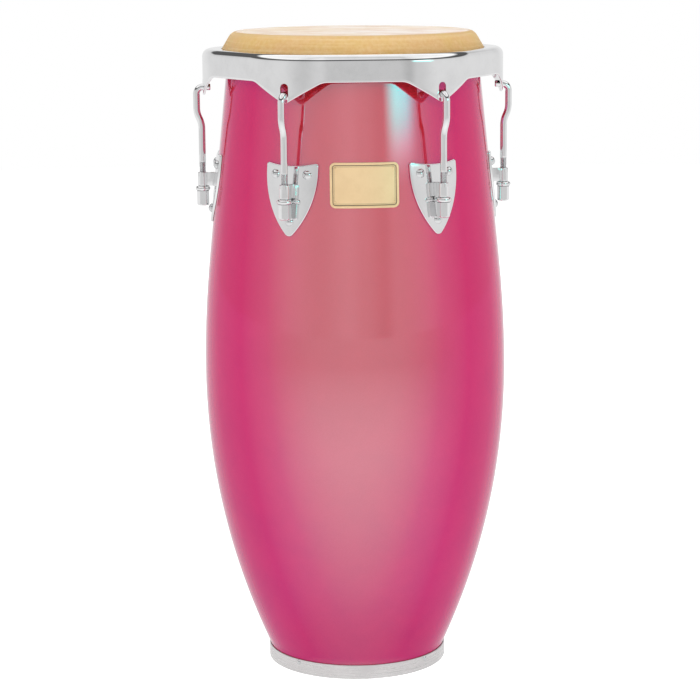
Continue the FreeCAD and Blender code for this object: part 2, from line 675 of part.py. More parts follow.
# Lug: a rod bent to a hook that passes through the rim's tab, with a plain shank and a threaded end
lug = doc.addObject("PartDesign::Body", "lug")
lug_line = draw(body_sketch(lug, "lug_line", "XZ_Plane"), [
    ("Places.rod_reach", "Places.thread_start"),
    ("Places.rod_reach", "Places.knee_base", "Places.knee_bend", "clockwise"),
    ("Places.rod_reach + Places.knee_shift / 2", "Places.knee_base + Sizes.knee_length / 2", "Places.knee_bend",
     "anticlockwise"),
    ("Places.hook_reach", "Places.knee_top"),
    ("Places.hook_reach", "Places.hook_height - Sizes.hook_bend", "Sizes.hook_bend", "anticlockwise"),
    ("Places.hook_reach - Sizes.hook_bend", "Places.hook_height"),
    ("Places.hook_tip", "Places.hook_height"),
], closed=False)
lug_section = body_sketch(lug, "lug_section", "XY_Plane", "Places.thread_start")
rod_middle = FreeCAD.Vector(value("Places.rod_reach"), 0, 0)
lug_section.addGeometry(Part.Circle(rod_middle, UP, value("Sizes.rod_radius")))
tie(lug_section, "Places.rod_reach", "DistanceX", -1, 1, 0, 3)
tie(lug_section, "0", "DistanceY", -1, 1, 0, 3)
tie(lug_section, "Sizes.rod_radius", "Radius", 0)
lug_rod = lug.newObject("PartDesign::AdditivePipe", "lug_rod")
lug_rod.Profile = lug_section
lug_rod.Spine = (lug_line, [])
doc.recompute()
lug_thread = lug.newObject("PartDesign::AdditiveCylinder", "lug_thread")
bind(lug_thread, Radius="Sizes.thread_radius", Height="Sizes.thread_length",
     Placement__Base__x="Places.rod_reach", Placement__Base__z="Places.rod_base")
lug_copies("lug", lug)

# Side plates, and the backing plates inside the shell
shield = [
    ("-Sizes.plate_half_width", "Places.plate_top"),
    ("-Sizes.plate_half_width", "Places.plate_side_top", "Places.plate_side_arc", "anticlockwise"),
    ("0", "Places.plate_tip", "Places.plate_side_arc", "anticlockwise"),
    ("Sizes.plate_half_width", "Places.plate_side_top"),
    ("Sizes.plate_half_width", "Places.plate_top", "Places.plate_top_arc", "clockwise"),
    ("0", "Places.plate_top - Sizes.plate_dip", "Places.plate_top_arc", "clockwise"),
]
plate_low = "(Places.plate_tip - Sizes.backing_margin)"
plate_high = "(Places.plate_top + Sizes.backing_margin)"
shield_rounds = [
    ("Sizes.plate_ear_round", "Places.plate_side_top + Sizes.plate_ear_round", plate_high),
    ("Sizes.plate_tip_round", plate_low, "Places.plate_side_top - Sizes.plate_tip_round"),
]
side_plate = joined("Cut", "side_plate", curved_plate(
    "side", shield, shield_rounds, plate_low, plate_high, "Sizes.seat_gap", "Sizes.plate_thickness"), plate_drills)
lug_copies("side_plate", side_plate)


def rectangle(half_width, low, high):
    """Upright rectangle about the local middle line."""
    return [(f"-{half_width}", low), (half_width, low), (half_width, high), (f"-{half_width}", high)]


backing_half = "(Sizes.bolt_spread + Sizes.backing_margin)"
backing_plate = joined("Cut", "backing_plate", curved_plate(
    "backing", rectangle(backing_half, "Places.low_bolt - Sizes.backing_margin",
                         "Places.high_bolt + Sizes.backing_margin"),
    [("Sizes.backing_corner", plate_low, plate_high)], plate_low, plate_high,
    "-Sizes.shell_wall - Sizes.backing_thickness", "-Sizes.shell_wall"), plate_drills)
lug_copies("backing_plate", backing_plate)

# Lug bracket: a socket round the rod, on a web that runs in to the side plate
socket = bind(column("socket", "Sizes.socket_radius", "Places.bracket_base", "Sizes.bracket_height"),
              Placement__Base__x="Places.rod_reach")
web = doc.addObject("Part::Box", "web")
bind(web, Length="Places.rod_reach", Width="Sizes.web_width", Height="Sizes.bracket_height",
     Placement__Base__y="-Sizes.web_width / 2", Placement__Base__z="Places.bracket_base")
socket_bore = bind(column("socket_bore", "Sizes.rod_radius + Sizes.socket_gap", "Places.bracket_base - 1",
                          "Sizes.bracket_height + 2"), Placement__Base__x="Places.rod_reach")
plate_face = cone("plate_face", "Sizes.plate_thickness", plate_low, plate_high)
bracket_waste = group("bracket_waste", [socket_bore, plate_face])
lug_bracket = joined("Cut", "lug_bracket", joined("Fuse", "socket_and_web", socket, web), bracket_waste)
lug_copies("lug_bracket", lug_bracket)

# Tuning nut: a round flange over a tall hexagon with a rounded nose
nose = revolved("nose", [
    ("0", "Places.nut_base"),
    ("Places.nut_corner - Sizes.nut_nose", "Places.nut_base", "Sizes.nut_nose", "anticlockwise"),
    ("Places.nut_corner", "Places.nut_base + Sizes.nut_nose"),
    ("Places.nut_corner", "Places.nut_flange_base"),
    ("0", "Places.nut_flange_base"),
])
nut_hex = joined("Common", "nut_hex", hex_bar("nut_bar", "Places.nut_corner", "Places.nut_base",
                                              "Sizes.nut_height"), nose)
half_flange = "Sizes.nut_flange_height / 2"
nut_flange = revolved("nut_flange", [
    ("0", "Places.nut_flange_base"),
    (f"Sizes.nut_flange - {half_flange}", "Places.nut_flange_base", half_flange, "anticlockwise"),
    ("Sizes.nut_flange", f"Places.nut_flange_base + {half_flange}", half_flange, "anticlockwise"),
    (f"Sizes.nut_flange - {half_flange}", "Places.nut_top"),
    ("0", "Places.nut_top"),
])
nut_bore = column("nut_bore", "Sizes.thread_radius + Sizes.thread_gap", "Places.nut_base - 1",
                  "Sizes.nut_height + Sizes.nut_flange_height + 2")
nut_upright = joined("Cut", "tuning_nut", joined("Fuse", "nut_solid", nut_hex, nut_flange), nut_bore)
tuning_nut = bind(group("tuning_nut_out", [nut_upright]), Placement__Base__x="Places.rod_reach")
lug_copies("tuning_nut", tuning_nut)


def at_plates(label, piece):
    """Three copies of a bolt's piece at each side plate, as separate solids of one object."""
    low = on_shell(label + "_low", piece, "Places.low_bolt")
    high = on_shell(label + "_high", piece, "Places.high_bolt")
    three = group(label + "_three", [
        low,
        turned(label + "_left", high, "Places.high_bolt_turn"),
        turned(label + "_right", high, "-Places.high_bolt_turn"),
    ])
    return around(label, three, "Sizes.first_lug", "Sizes.lug_count")


bolt_reach = "(Sizes.plate_thickness + Places.inner_seat + Sizes.washer_thickness + Sizes.bolt_nut_height" \
             " + Sizes.bolt_overhang)"
bolt = domed_pin("bolt", "Sizes.bolt_head", "Sizes.bolt_dome", "Sizes.bolt_shank", bolt_reach,
                 "Sizes.plate_thickness")
node("side_plate_bolts", at_plates("side_plate_bolts", bolt))
washer_low = "(-Places.inner_seat - Sizes.washer_thickness)"
washer_disc = column("washer_disc", "Sizes.washer_radius", washer_low, "Sizes.washer_thickness")
washer = joined("Cut", "washer", washer_disc, bolt_drill)
node("side_plate_washers", at_plates("side_plate_washers", washer))
bolt_nut = joined("Cut", "bolt_nut", hex_bar("bolt_nut_bar", "Sizes.bolt_nut_flats / 2 / cos(30)",
                                             f"{washer_low} - Sizes.bolt_nut_height", "Sizes.bolt_nut_height"),
                  column("bolt_thread", "Sizes.bolt_shank", f"{washer_low} - Sizes.bolt_nut_height * 2",
                         "Sizes.bolt_nut_height * 3"))
node("side_plate_nuts", at_plates("side_plate_nuts", bolt_nut))

# Badge: a plain plate with a raised border, and its pins
badge_half_width = "Sizes.badge_half_width"
badge_sheet = curved_plate("badge_sheet", rectangle(badge_half_width, "Places.badge_low", "Places.badge_high"),
                           [("Sizes.badge_corner", plate_low, plate_high)], plate_low, plate_high,
                           "Sizes.seat_gap",
                           "Sizes.badge_thickness + Sizes.badge_border_height")
field = curved_plate("badge_field", rectangle(f"({badge_half_width} - Sizes.badge_border)",
                                              "Places.badge_low + Sizes.badge_border",
                                              "Places.badge_high - Sizes.badge_border"),
                     [("Sizes.badge_corner - Sizes.badge_border", plate_low, plate_high)], plate_low, plate_high,
                     "Sizes.badge_thickness",
                     "Sizes.badge_thickness + Sizes.badge_border_height * 2")
badge_blank = joined("Cut", "badge_blank", badge_sheet, field)
node("badge_plate", joined("Cut", "badge_plate", turned("badge_turn", badge_blank, "-90"), pin_drills))
badge_pin = domed_pin("badge_pin", "Sizes.pin_head", "Sizes.pin_dome", "Sizes.pin_shank", "Sizes.pin_length",
                      "Sizes.badge_thickness")
node("badge_pins", badge_corners("badge_pins", badge_pin))

# Checks, then one file for each sub-part
doc.recompute()
for item in doc.Objects:
    if "Invalid" in item.State or "Error" in item.State:
        raise RuntimeError(f"{item.Name} failed: {item.State}")
for label, item in parts.items():
    if item.Shape.isNull() or not item.Shape.isValid() or not item.Shape.Solids:
        raise RuntimeError(f"{label} has no valid solid")
os.makedirs("parts", exist_ok=True)
for label, item in parts.items():
    item.Shape.exportStep(os.path.join("parts", label + ".step"))
print(len(parts), "sub-parts written")
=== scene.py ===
"""Looks of the hand drum: shell, head, rim, lugs, side plates and badge.

Pieces are worked out in millimetres in the shared frame (+Z up, -Y the front) and stored in metres.
"""
import bpy
import logging
import math
from dataclasses import dataclass, field
from enum import Enum
from typing import Callable, Sequence

from mathutils import Matrix, Vector, noise


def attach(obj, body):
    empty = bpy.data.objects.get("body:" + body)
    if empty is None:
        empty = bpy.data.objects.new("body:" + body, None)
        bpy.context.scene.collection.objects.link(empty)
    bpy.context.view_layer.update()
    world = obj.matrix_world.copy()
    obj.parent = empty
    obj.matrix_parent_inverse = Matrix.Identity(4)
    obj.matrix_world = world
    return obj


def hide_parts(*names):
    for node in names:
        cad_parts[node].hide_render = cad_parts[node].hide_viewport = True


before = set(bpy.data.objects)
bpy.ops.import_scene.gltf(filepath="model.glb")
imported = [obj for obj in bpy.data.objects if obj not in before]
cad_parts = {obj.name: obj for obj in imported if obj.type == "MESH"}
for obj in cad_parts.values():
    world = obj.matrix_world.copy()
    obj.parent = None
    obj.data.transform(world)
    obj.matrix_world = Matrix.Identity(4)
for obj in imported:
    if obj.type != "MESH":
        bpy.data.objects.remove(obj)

LOG = logging.getLogger("hand_drum")
MM = 0.001
LUG_TURNS = tuple(-60.0 + 60.0 * index for index in range(6))
HALF_SPACING = math.radians(30.0)
Point = tuple[float, float, float]
Section = tuple[float, float]
Placer = Callable[[int, int], Point]
Item = bpy.types.Object
Material = bpy.types.Material
Socket = bpy.types.NodeSocket


class Slot(Enum):
    """The record's material slots that the pieces here take."""

    SHELL = "shell"
    PLATED = "plated"
    BAND = "band"
    SKIN = "skin"
    BADGE = "badge"


class RimRow(Enum):
    """Where a row of the rim's section lies."""

    MOUTH = "round opening"
    SIDE = "shoulder"
    SKIRT = "between shoulder and lower edge"
    EDGE = "lower edge"


def arc(centre: Section, radius: float, first: float, last: float, steps: int) -> list[Section]:
    """Points along an arc.

    Args:
        centre: middle of the arc.
        radius: its radius.
        first: angle of its first point in degrees, anticlockwise from the first axis.
        last: angle of its last point.
        steps: number of chords.

    Returns:
        The points, both ends included.
    """
    points = []
    for step in range(steps + 1):
        angle = math.radians(first + (last - first) * step / steps)
        points.append((centre[0] + radius * math.cos(angle), centre[1] + radius * math.sin(angle)))
    return points


def spread(first: float, last: float, steps: int) -> list[float]:
    """Evenly spaced numbers with both ends included."""
    return [first + (last - first) * step / steps for step in range(steps + 1)]


@dataclass(frozen=True)
class ShellForm:
    """The shell's profile, in millimetres and degrees."""

    head_height: float = 762.0
    belly_height: float = 360.0
    belly_radius: float = 180.2
    crown_radius: float = 146.0
    foot_radius: float = 105.7
    foot_height: float = 1.8
    band_height: float = 17.0
    taper: float = 6.0053
    wall: float = 5.0
    edge_round: float = 11.0
    edge_top: float = 760.0
    collar_wall: float = 14.0
    collar_depth: float = 33.0
    collar_blend: float = 27.0

    @property
    def slope(self) -> float:
        """Fall of the radius for each millimetre of height on the upper cone."""
        return math.tan(math.radians(self.taper))

    @property
    def edge_centre(self) -> Section:
        """Middle of the bearing edge's round."""
        return (self.crown_radius - self.edge_round, self.edge_top - self.edge_round)

    @property
    def crown(self) -> Section:
        """Where the cone meets the round of the bearing edge.

        Returns:
            The point as radius and height.
        """
        turn = math.radians(self.taper)
        across, up = self.edge_centre
        return (across + self.edge_round * math.cos(turn), up + self.edge_round * math.sin(turn))

    @property
    def crown_arc(self) -> float:
        """Radius of the arc between belly and cone.

        Returns:
            The radius, with the arc touching both.
        """
        turn = math.radians(self.taper)
        rise = self.crown[1] - self.belly_height
        bend = self.slope * math.sin(turn) - 1.0 + math.cos(turn)
        return (self.crown[0] - self.belly_radius + self.slope * rise) / bend

    @property
    def foot_arc(self) -> float:
        """Radius of the arc between foot and belly.

        Returns:
            The radius, with the arc upright at the belly.
        """
        swell = self.belly_radius - self.foot_radius
        rise = self.belly_height - self.band_height
        return (swell ** 2 + rise ** 2) / (2.0 * swell)

    @property
    def shoulder_height(self) -> float:
        """Where the arc above the belly becomes the cone."""
        return self.belly_height + self.crown_arc * math.sin(math.radians(self.taper))

    def cone(self, height: float, proud: float = 0.0) -> float:
        """Radius of the upper cone at a height, standing proud along its normal."""
        base = self.crown[0] + self.slope * self.crown[1]
        return base - self.slope * height + proud / math.cos(math.radians(self.taper))

    def side(self, height: float, inset: float = 0.0) -> float:
        """Radius of the shell's side at a height, drawn in along its normal by an inset.

        Args:
            height: height above the floor.
            inset: distance inside the outer side.

        Returns:
            The radius at that height.
        """
        if height >= self.shoulder_height:
            return self.cone(height, -inset)
        reach = self.foot_arc if height < self.belly_height else self.crown_arc
        rise = max(height, self.band_height) - self.belly_height
        return self.belly_radius - reach + math.sqrt((reach - inset) ** 2 - rise ** 2)


FORM = ShellForm()


class Modeller:
    """Builds meshes with Blender's own modelling operators and places their vertices."""

    @staticmethod
    def deselect() -> None:
        """Leave nothing selected and nothing active."""
        if bpy.context.object is not None and bpy.context.object.mode != "OBJECT":
            bpy.ops.object.mode_set(mode="OBJECT")
        bpy.ops.object.select_all(action="DESELECT")

    @classmethod
    def only(cls, piece: Item) -> Item:
        """Select one object and make it active.

        Args:
            piece: the object.

        Returns:
            The same object.
        """
        cls.deselect()
        piece.select_set(True)
        bpy.context.view_layer.objects.active = piece
        return piece

    @classmethod
    def rings(cls, name: str, columns: int, rows: int, place: Placer, closed: bool = False) -> Item:
        """Stack of rings extruded from a circle, with every vertex placed by its row and column.

        Args:
            name: name of the piece.
            columns: vertices in each ring.
            rows: number of rings.
            place: gives the point in millimetres for a row and a column.
            closed: joins the last ring back to the first.

        Returns:
            The new object, its doubles merged and its faces outward.
        """
        cls.deselect()
        bpy.ops.mesh.primitive_circle_add(vertices=columns, radius=1.0, fill_type="NOTHING")
        piece = bpy.context.object
        piece.name = name
        piece.data.name = name
        bpy.ops.object.mode_set(mode="EDIT")
        bpy.ops.mesh.select_all(action="SELECT")
        for _ in range(rows - 1):
            bpy.ops.mesh.extrude_region_move(TRANSFORM_OT_translate={"value": (0.0, 0.0, 1.0)})
        if closed:
            bpy.ops.mesh.select_all(action="SELECT")
            bpy.ops.mesh.region_to_loop()
            bpy.ops.mesh.bridge_edge_loops()
        bpy.ops.object.mode_set(mode="OBJECT")
        for vertex in piece.data.vertices:
            turn = math.atan2(vertex.co.y, vertex.co.x) % math.tau
            column = int(round(turn / math.tau * columns)) % columns
            across, height_shaded, up = place(int(round(vertex.co.z)), column)
            vertex.co = (across * MM, height_shaded * MM, up * MM)
        return cls.tidy(piece)

    @classmethod
    def tidy(cls, piece: Item, merge: float = 0.002) -> Item:
        """Merge doubles and turn the faces outward.

        Args:
            piece: the mesh object.
            merge: merging distance in millimetres.

        Returns:
            The same object.
        """
        cls.only(piece)
        bpy.ops.object.mode_set(mode="EDIT")
        bpy.ops.mesh.select_all(action="SELECT")
        bpy.ops.mesh.remove_doubles(threshold=merge * MM)
        bpy.ops.mesh.dissolve_degenerate(threshold=merge * MM)
        bpy.ops.mesh.select_all(action="SELECT")
        bpy.ops.mesh.normals_make_consistent(inside=False)
        bpy.ops.mesh.select_all(action="DESELECT")
        bpy.ops.object.mode_set(mode="OBJECT")
        return piece

    @classmethod
    def smooth(cls, piece: Item, angle: float = 32.0) -> Item:
        """Shade smooth except across edges sharper than an angle in degrees.

        Args:
            piece: the mesh object.
            angle: sharpest angle that is still smoothed.

        Returns:
            The same object.
        """
        cls.only(piece)
        bpy.ops.object.shade_smooth_by_angle(angle=math.radians(angle))
        return piece

    @classmethod
    def lathe(cls, name: str, columns: int, profile: Sequence[Section], closed: bool = True,
              axis: Section = (0.0, 0.0)) -> Item:
        """Piece turned about an upright axis from (radius, height) points.

        Args:
            name: name of the piece.
            columns: steps round the axis.
            profile: the section's points as radius and height, in order.
            closed: joins the last point back to the first.
            axis: where the axis stands.

        Returns:
            The new object.
        """
        def place(row: int, column: int) -> Point:
            """Point of the profile, turned.

            Args:
                row: the ring, from 0.
                column: the step round the ring.

            Returns:
                The point in millimetres.
            """
            turn = math.tau * column / columns
            radius, height = profile[row]
            return (axis[0] + radius * math.cos(turn), axis[1] + radius * math.sin(turn), height)
        return cls.rings(name, columns, len(profile), place, closed)

    @classmethod
    def join(cls, name: str, members: Sequence[Item]) -> Item:
        """Join objects into one.

        Args:
            name: name of the joined object.
            members: the objects.

        Returns:
            The joined object.
        """
        cls.deselect()
        for member in members:
            member.select_set(True)
        bpy.context.view_layer.objects.active = members[0]
        if len(members) > 1:
            bpy.ops.object.join()
        members[0].name = name
        members[0].data.name = name
        return members[0]

    @classmethod
    def boolean(cls, piece: Item, tool: Item, operation: str) -> Item:
        """Apply an exact boolean and remove its tool.

        Args:
            piece: the object that is cut or added to.
            tool: the other object, used up.
            operation: UNION or DIFFERENCE.

        Returns:
            The same object.
        """
        cls.only(piece)
        modifier = piece.modifiers.new(operation.title(), "BOOLEAN")
        modifier.operation = operation
        modifier.solver = "EXACT"
        modifier.object = tool
        bpy.ops.object.modifier_apply(modifier=modifier.name)
        bpy.data.objects.remove(tool)
        return piece

    @classmethod
    def turned_copies(cls, piece: Item, names: Sequence[str], turns: Sequence[float]) -> list[Item]:
        """Copies turned about the drum's axis, each with its own mesh; the piece itself is used up.

        Args:
            piece: the piece, modelled facing +X.
            names: name of each copy.
            turns: turn of each copy in degrees.

        Returns:
            The copies.
        """
        copies = []
        for name, turn in zip(names, turns):
            cls.only(piece)
            bpy.ops.object.duplicate(linked=False)
            copy = bpy.context.object
            copy.name = name
            copy.data.name = name
            copy.data.transform(Matrix.Rotation(math.radians(turn), 4, "Z"))
            copies.append(copy)
        bpy.data.objects.remove(piece)
        return copies


class NodeGraph:
    """Short calls for building a material's or world's nodes."""

    def __init__(self, tree: bpy.types.NodeTree) -> None:
        """Start with an empty tree."""
        self.tree = tree
        self.tree.nodes.clear()

    def add(self, kind: str, inputs: dict | None = None, **settings) -> bpy.types.Node:
        """Add a node.

        Args:
            kind: Blender's node type.
            inputs: socket name or number to a value or to an output socket.
            settings: attributes of the node.

        Returns:
            The node.
        """
        made = self.tree.nodes.new(kind)
        for name, setting in settings.items():
            setattr(made, name, setting)
        for name, given in (inputs or {}).items():
            self.feed(made, name, given)
        return made

    def feed(self, node: bpy.types.Node, name: str | int, given) -> None:
        """Set or link one input.

        Args:
            node: the node.
            name: its socket's name or number.
            given: a value, or the output socket to link.
        """
        socket = node.inputs[name]
        if isinstance(given, Socket):
            self.tree.links.new(given, socket)
        else:
            socket.default_value = given

    def maths(self, operation: str, *operands, clamp: bool = False) -> Socket:
        """Maths node; returns its value."""
        made = self.add("ShaderNodeMath", dict(enumerate(operands)), operation=operation, use_clamp=clamp)
        return made.outputs[0]

    def ramp(self, factor, stops: Sequence[Section], interpolation: str = "LINEAR") -> Socket:
        """Ramp of greys from (position, level) stops; returns its colour.

        Args:
            factor: the socket that picks the place on the ramp.
            stops: the stops in rising order.
            interpolation: how the ramp runs from stop to stop.

        Returns:
            The ramp's colour.
        """
        made = self.add("ShaderNodeValToRGB", {0: factor})
        made.color_ramp.interpolation = interpolation
        while len(made.color_ramp.elements) < len(stops):
            made.color_ramp.elements.new(0.5)
        for element, (position, level) in zip(made.color_ramp.elements, stops):
            element.position = position
            element.color = (level, level, level, 1.0)
        return made.outputs[0]

    def remap(self, factor, low: float, high: float, to_low: float = 0.0, to_high: float = 1.0) -> Socket:
        """Map one range onto another, clamped, with smooth ends."""
        made = self.add("ShaderNodeMapRange", {0: factor, 1: low, 2: high, 3: to_low, 4: to_high},
                        interpolation_type="SMOOTHSTEP")
        return made.outputs[0]

    def mix(self, factor, first, second, blend: str = "MIX") -> Socket:
        """Mix two colours.

        Args:
            factor: share of the second, or its socket.
            first: colour or socket.
            second: colour or socket.
            blend: how they are mixed.

        Returns:
            The mixed colour.
        """
        made = self.add("ShaderNodeMix", {"Factor": factor}, data_type="RGBA", blend_type=blend)
        self.feed(made, 6, first if isinstance(first, Socket) else (*first, 1.0))
        self.feed(made, 7, second if isinstance(second, Socket) else (*second, 1.0))
        return made.outputs[2]

    def noise(self, vector, scale: float, detail: float = 3.0, roughness: float = 0.5) -> Socket:
        """Noise texture; returns its value from 0 to 1."""
        made = self.add("ShaderNodeTexNoise", {"Vector": vector, "Scale": scale, "Detail": detail,
                                               "Roughness": roughness})
        return made.outputs[0]

    def stretched(self, vector, scale: Point) -> Socket:
        """Vector scaled along its axes."""
        made = self.add("ShaderNodeMapping", {"Vector": vector, "Scale": scale})
        return made.outputs[0]

    def bump(self, height, strength: float, distance: float, normal=None) -> Socket:
        """Bump from a height; returns the normal. The distance is in millimetres.

        Args:
            height: the socket that gives the height.
            strength: share of the bump.
            distance: depth of the full bump in millimetres.
            normal: an earlier bump to add to.

        Returns:
            The bumped normal.
        """
        inputs = {"Height": height, "Strength": strength, "Distance": distance * MM}
        if normal is not None:
            inputs["Normal"] = normal
        return self.add("ShaderNodeBump", inputs).outputs[0]


@dataclass(frozen=True)
class Finish:
    """A finish whose nodes read object coordinates in metres; each kind lays out its own."""

    name: str

    def lay(self, graph: NodeGraph, place: Socket) -> dict:
        """Inputs of the surface shader, as each kind of finish gives them."""
        raise NotImplementedError

    def material(self) -> Material:
        """Make the finish as a new material.

        Returns:
            The material, with its surface shader and output.
        """
        material = bpy.data.materials.new(self.name)
        material.use_nodes = True
        graph = NodeGraph(material.node_tree)
        place = graph.add("ShaderNodeTexCoord").outputs["Object"]
        shader = graph.add("ShaderNodeBsdfPrincipled", self.lay(graph, place))
        graph.add("ShaderNodeOutputMaterial", {"Surface": shader.outputs[0]})
        return material


@dataclass(frozen=True)
class PearlShell(Finish):
    """Deep red pearl under a clear coat: fine flake, soft mottling and a faint orange peel."""

    # painted shade: the darker red laid on towards the foot
    foot_shade_red: Point = (0.285, 0.013, 0.027)
    head_red: Point = (0.368, 0.014, 0.020)
    cloud_red: Point = (0.40, 0.020, 0.034)
    flake_pink: Point = (0.50, 0.06, 0.10)
    sheen: Point = (0.86, 0.08, 0.66)

    def lay(self, graph: NodeGraph, place: Socket) -> dict:
        """Lay out the pearl and its coat.

        Args:
            graph: the material's nodes.
            place: object coordinates in metres.

        Returns:
            The surface shader's inputs.
        """
        flake = graph.add("ShaderNodeTexVoronoi", {"Vector": place, "Scale": 2600.0}).outputs["Color"]
        flake_tone = graph.add("ShaderNodeSeparateColor", {0: flake}).outputs[0]
        cloud = graph.noise(place, 22.0, 4.0, 0.55)
        height = graph.add("ShaderNodeSeparateXYZ", {0: place}).outputs[2]
        # painted shade: the base red darkens towards the foot
        height_shaded = graph.mix(graph.remap(height, 0.05, 0.62), self.foot_shade_red, self.head_red)
        lively = graph.mix(graph.remap(cloud, 0.3, 0.7, 0.0, 0.25), height_shaded, self.cloud_red)
        colour = graph.mix(graph.remap(flake_tone, 0.2, 1.0, 0.0, 0.12), lively, self.flake_pink)
        peel = graph.noise(place, 160.0, 2.0, 0.4)
        wave = graph.noise(place, 9.0, 1.0, 0.4)
        normal = graph.bump(peel, 0.06, 0.03, graph.bump(wave, 0.2, 0.4))
        facing = graph.add("ShaderNodeLayerWeight", {"Blend": 0.5}).outputs["Facing"]
        gloss = graph.ramp(facing, [(0.0, 0.95), (0.06, 0.82), (0.20, 0.26), (0.36, 0.0), (0.60, 0.0),
                                    (0.80, 0.22), (1.0, 1.0)])
        depth = graph.ramp(facing, [(0.0, 0.16), (0.06, 0.22), (0.20, 0.46), (0.32, 0.5)])
        return {
            "Base Color": colour, "Roughness": 0.06, "IOR": 2.8, "Specular IOR Level": depth,
            "Specular Tint": (*self.sheen, 1.0), "Normal": normal,
            "Coat Weight": gloss, "Coat Roughness": 0.03, "Coat IOR": 3.0, "Coat Normal": normal,
        }


@dataclass(frozen=True)
class GlassFibre(Finish):
    """Resin-rich glass fibre: dark, mottled and criss-crossed with strands."""

    resin: Point = (0.030, 0.012, 0.012)
    mottle: Point = (0.13, 0.055, 0.05)
    strand: Point = (0.22, 0.12, 0.10)

    def lay(self, graph: NodeGraph, place: Socket) -> dict:
        """Lay out the resin and its strands.

        Args:
            graph: the material's nodes.
            place: object coordinates in metres.

        Returns:
            The surface shader's inputs.
        """
        strands = graph.add("ShaderNodeTexWave", {
            "Vector": graph.stretched(place, (1.0, 1.0, 0.6)), "Scale": 60.0, "Distortion": 14.0,
            "Detail": 3.0, "Detail Scale": 2.0,
        }).outputs[1]
        mottled = graph.noise(place, 45.0, 5.0, 0.6)
        colour = graph.mix(mottled, self.resin, self.mottle)
        colour = graph.mix(graph.remap(strands, 0.6, 1.0, 0.0, 0.5), colour, self.strand)
        normal = graph.bump(strands, 0.5, 0.3, graph.bump(mottled, 0.6, 0.5))
        rough = graph.remap(mottled, 0.3, 0.7, 0.42, 0.7)
        return {"Base Color": colour, "Roughness": rough, "Normal": normal}


@dataclass(frozen=True)
class Chrome(Finish):
    """Plated steel with faint smudges and hairline wear."""

    tone: Point = (0.875, 0.875, 0.88)
    rough: float = 0.035
    wear: float = 0.86

    def lay(self, graph: NodeGraph, place: Socket) -> dict:
        """Lay out the plating, its smudges and hairlines.

        Args:
            graph: the material's nodes.
            place: object coordinates in metres.

        Returns:
            The surface shader's inputs.
        """
        smudge = graph.noise(place, 38.0, 5.0, 0.62)
        hairs = graph.noise(graph.stretched(place, (1.0, 1.0, 14.0)), 420.0, 2.0, 0.6)
        worn = tuple(self.wear * part for part in self.tone)
        colour = graph.mix(graph.remap(smudge, 0.35, 0.75, 0.0, 0.5), self.tone, worn)
        roughness = graph.maths("ADD", graph.remap(smudge, 0.4, 0.8, self.rough, self.rough + 0.06),
                                graph.remap(hairs, 0.55, 0.9, 0.0, 0.05))
        normal = graph.bump(hairs, 0.05, 0.02, graph.bump(smudge, 0.08, 0.15))
        return {"Base Color": colour, "Metallic": 1.0, "Roughness": roughness, "Normal": normal}


@dataclass(frozen=True)
class SatinBand(Finish):
    """Satin plated steel, brushed round the band."""

    tone: Point = (0.56, 0.555, 0.55)
    worn_tone: Point = (0.47, 0.465, 0.465)

    def lay(self, graph: NodeGraph, place: Socket) -> dict:
        """Lay out the brushed plating.

        Args:
            graph: the material's nodes.
            place: object coordinates in metres.

        Returns:
            The surface shader's inputs.
        """
        brushing = graph.noise(graph.stretched(place, (6.0, 6.0, 900.0)), 3.0, 4.0, 0.6)
        smudge = graph.noise(place, 30.0, 4.0, 0.6)
        colour = graph.mix(graph.remap(smudge, 0.35, 0.75, 0.0, 0.6), self.tone, self.worn_tone)
        rough = graph.maths("ADD", graph.remap(brushing, 0.3, 0.7, 0.20, 0.30),
                            graph.remap(smudge, 0.4, 0.8, 0.0, 0.1))
        normal = graph.bump(brushing, 0.12, 0.03)
        return {"Base Color": colour, "Metallic": 0.4, "Roughness": rough, "Normal": normal}


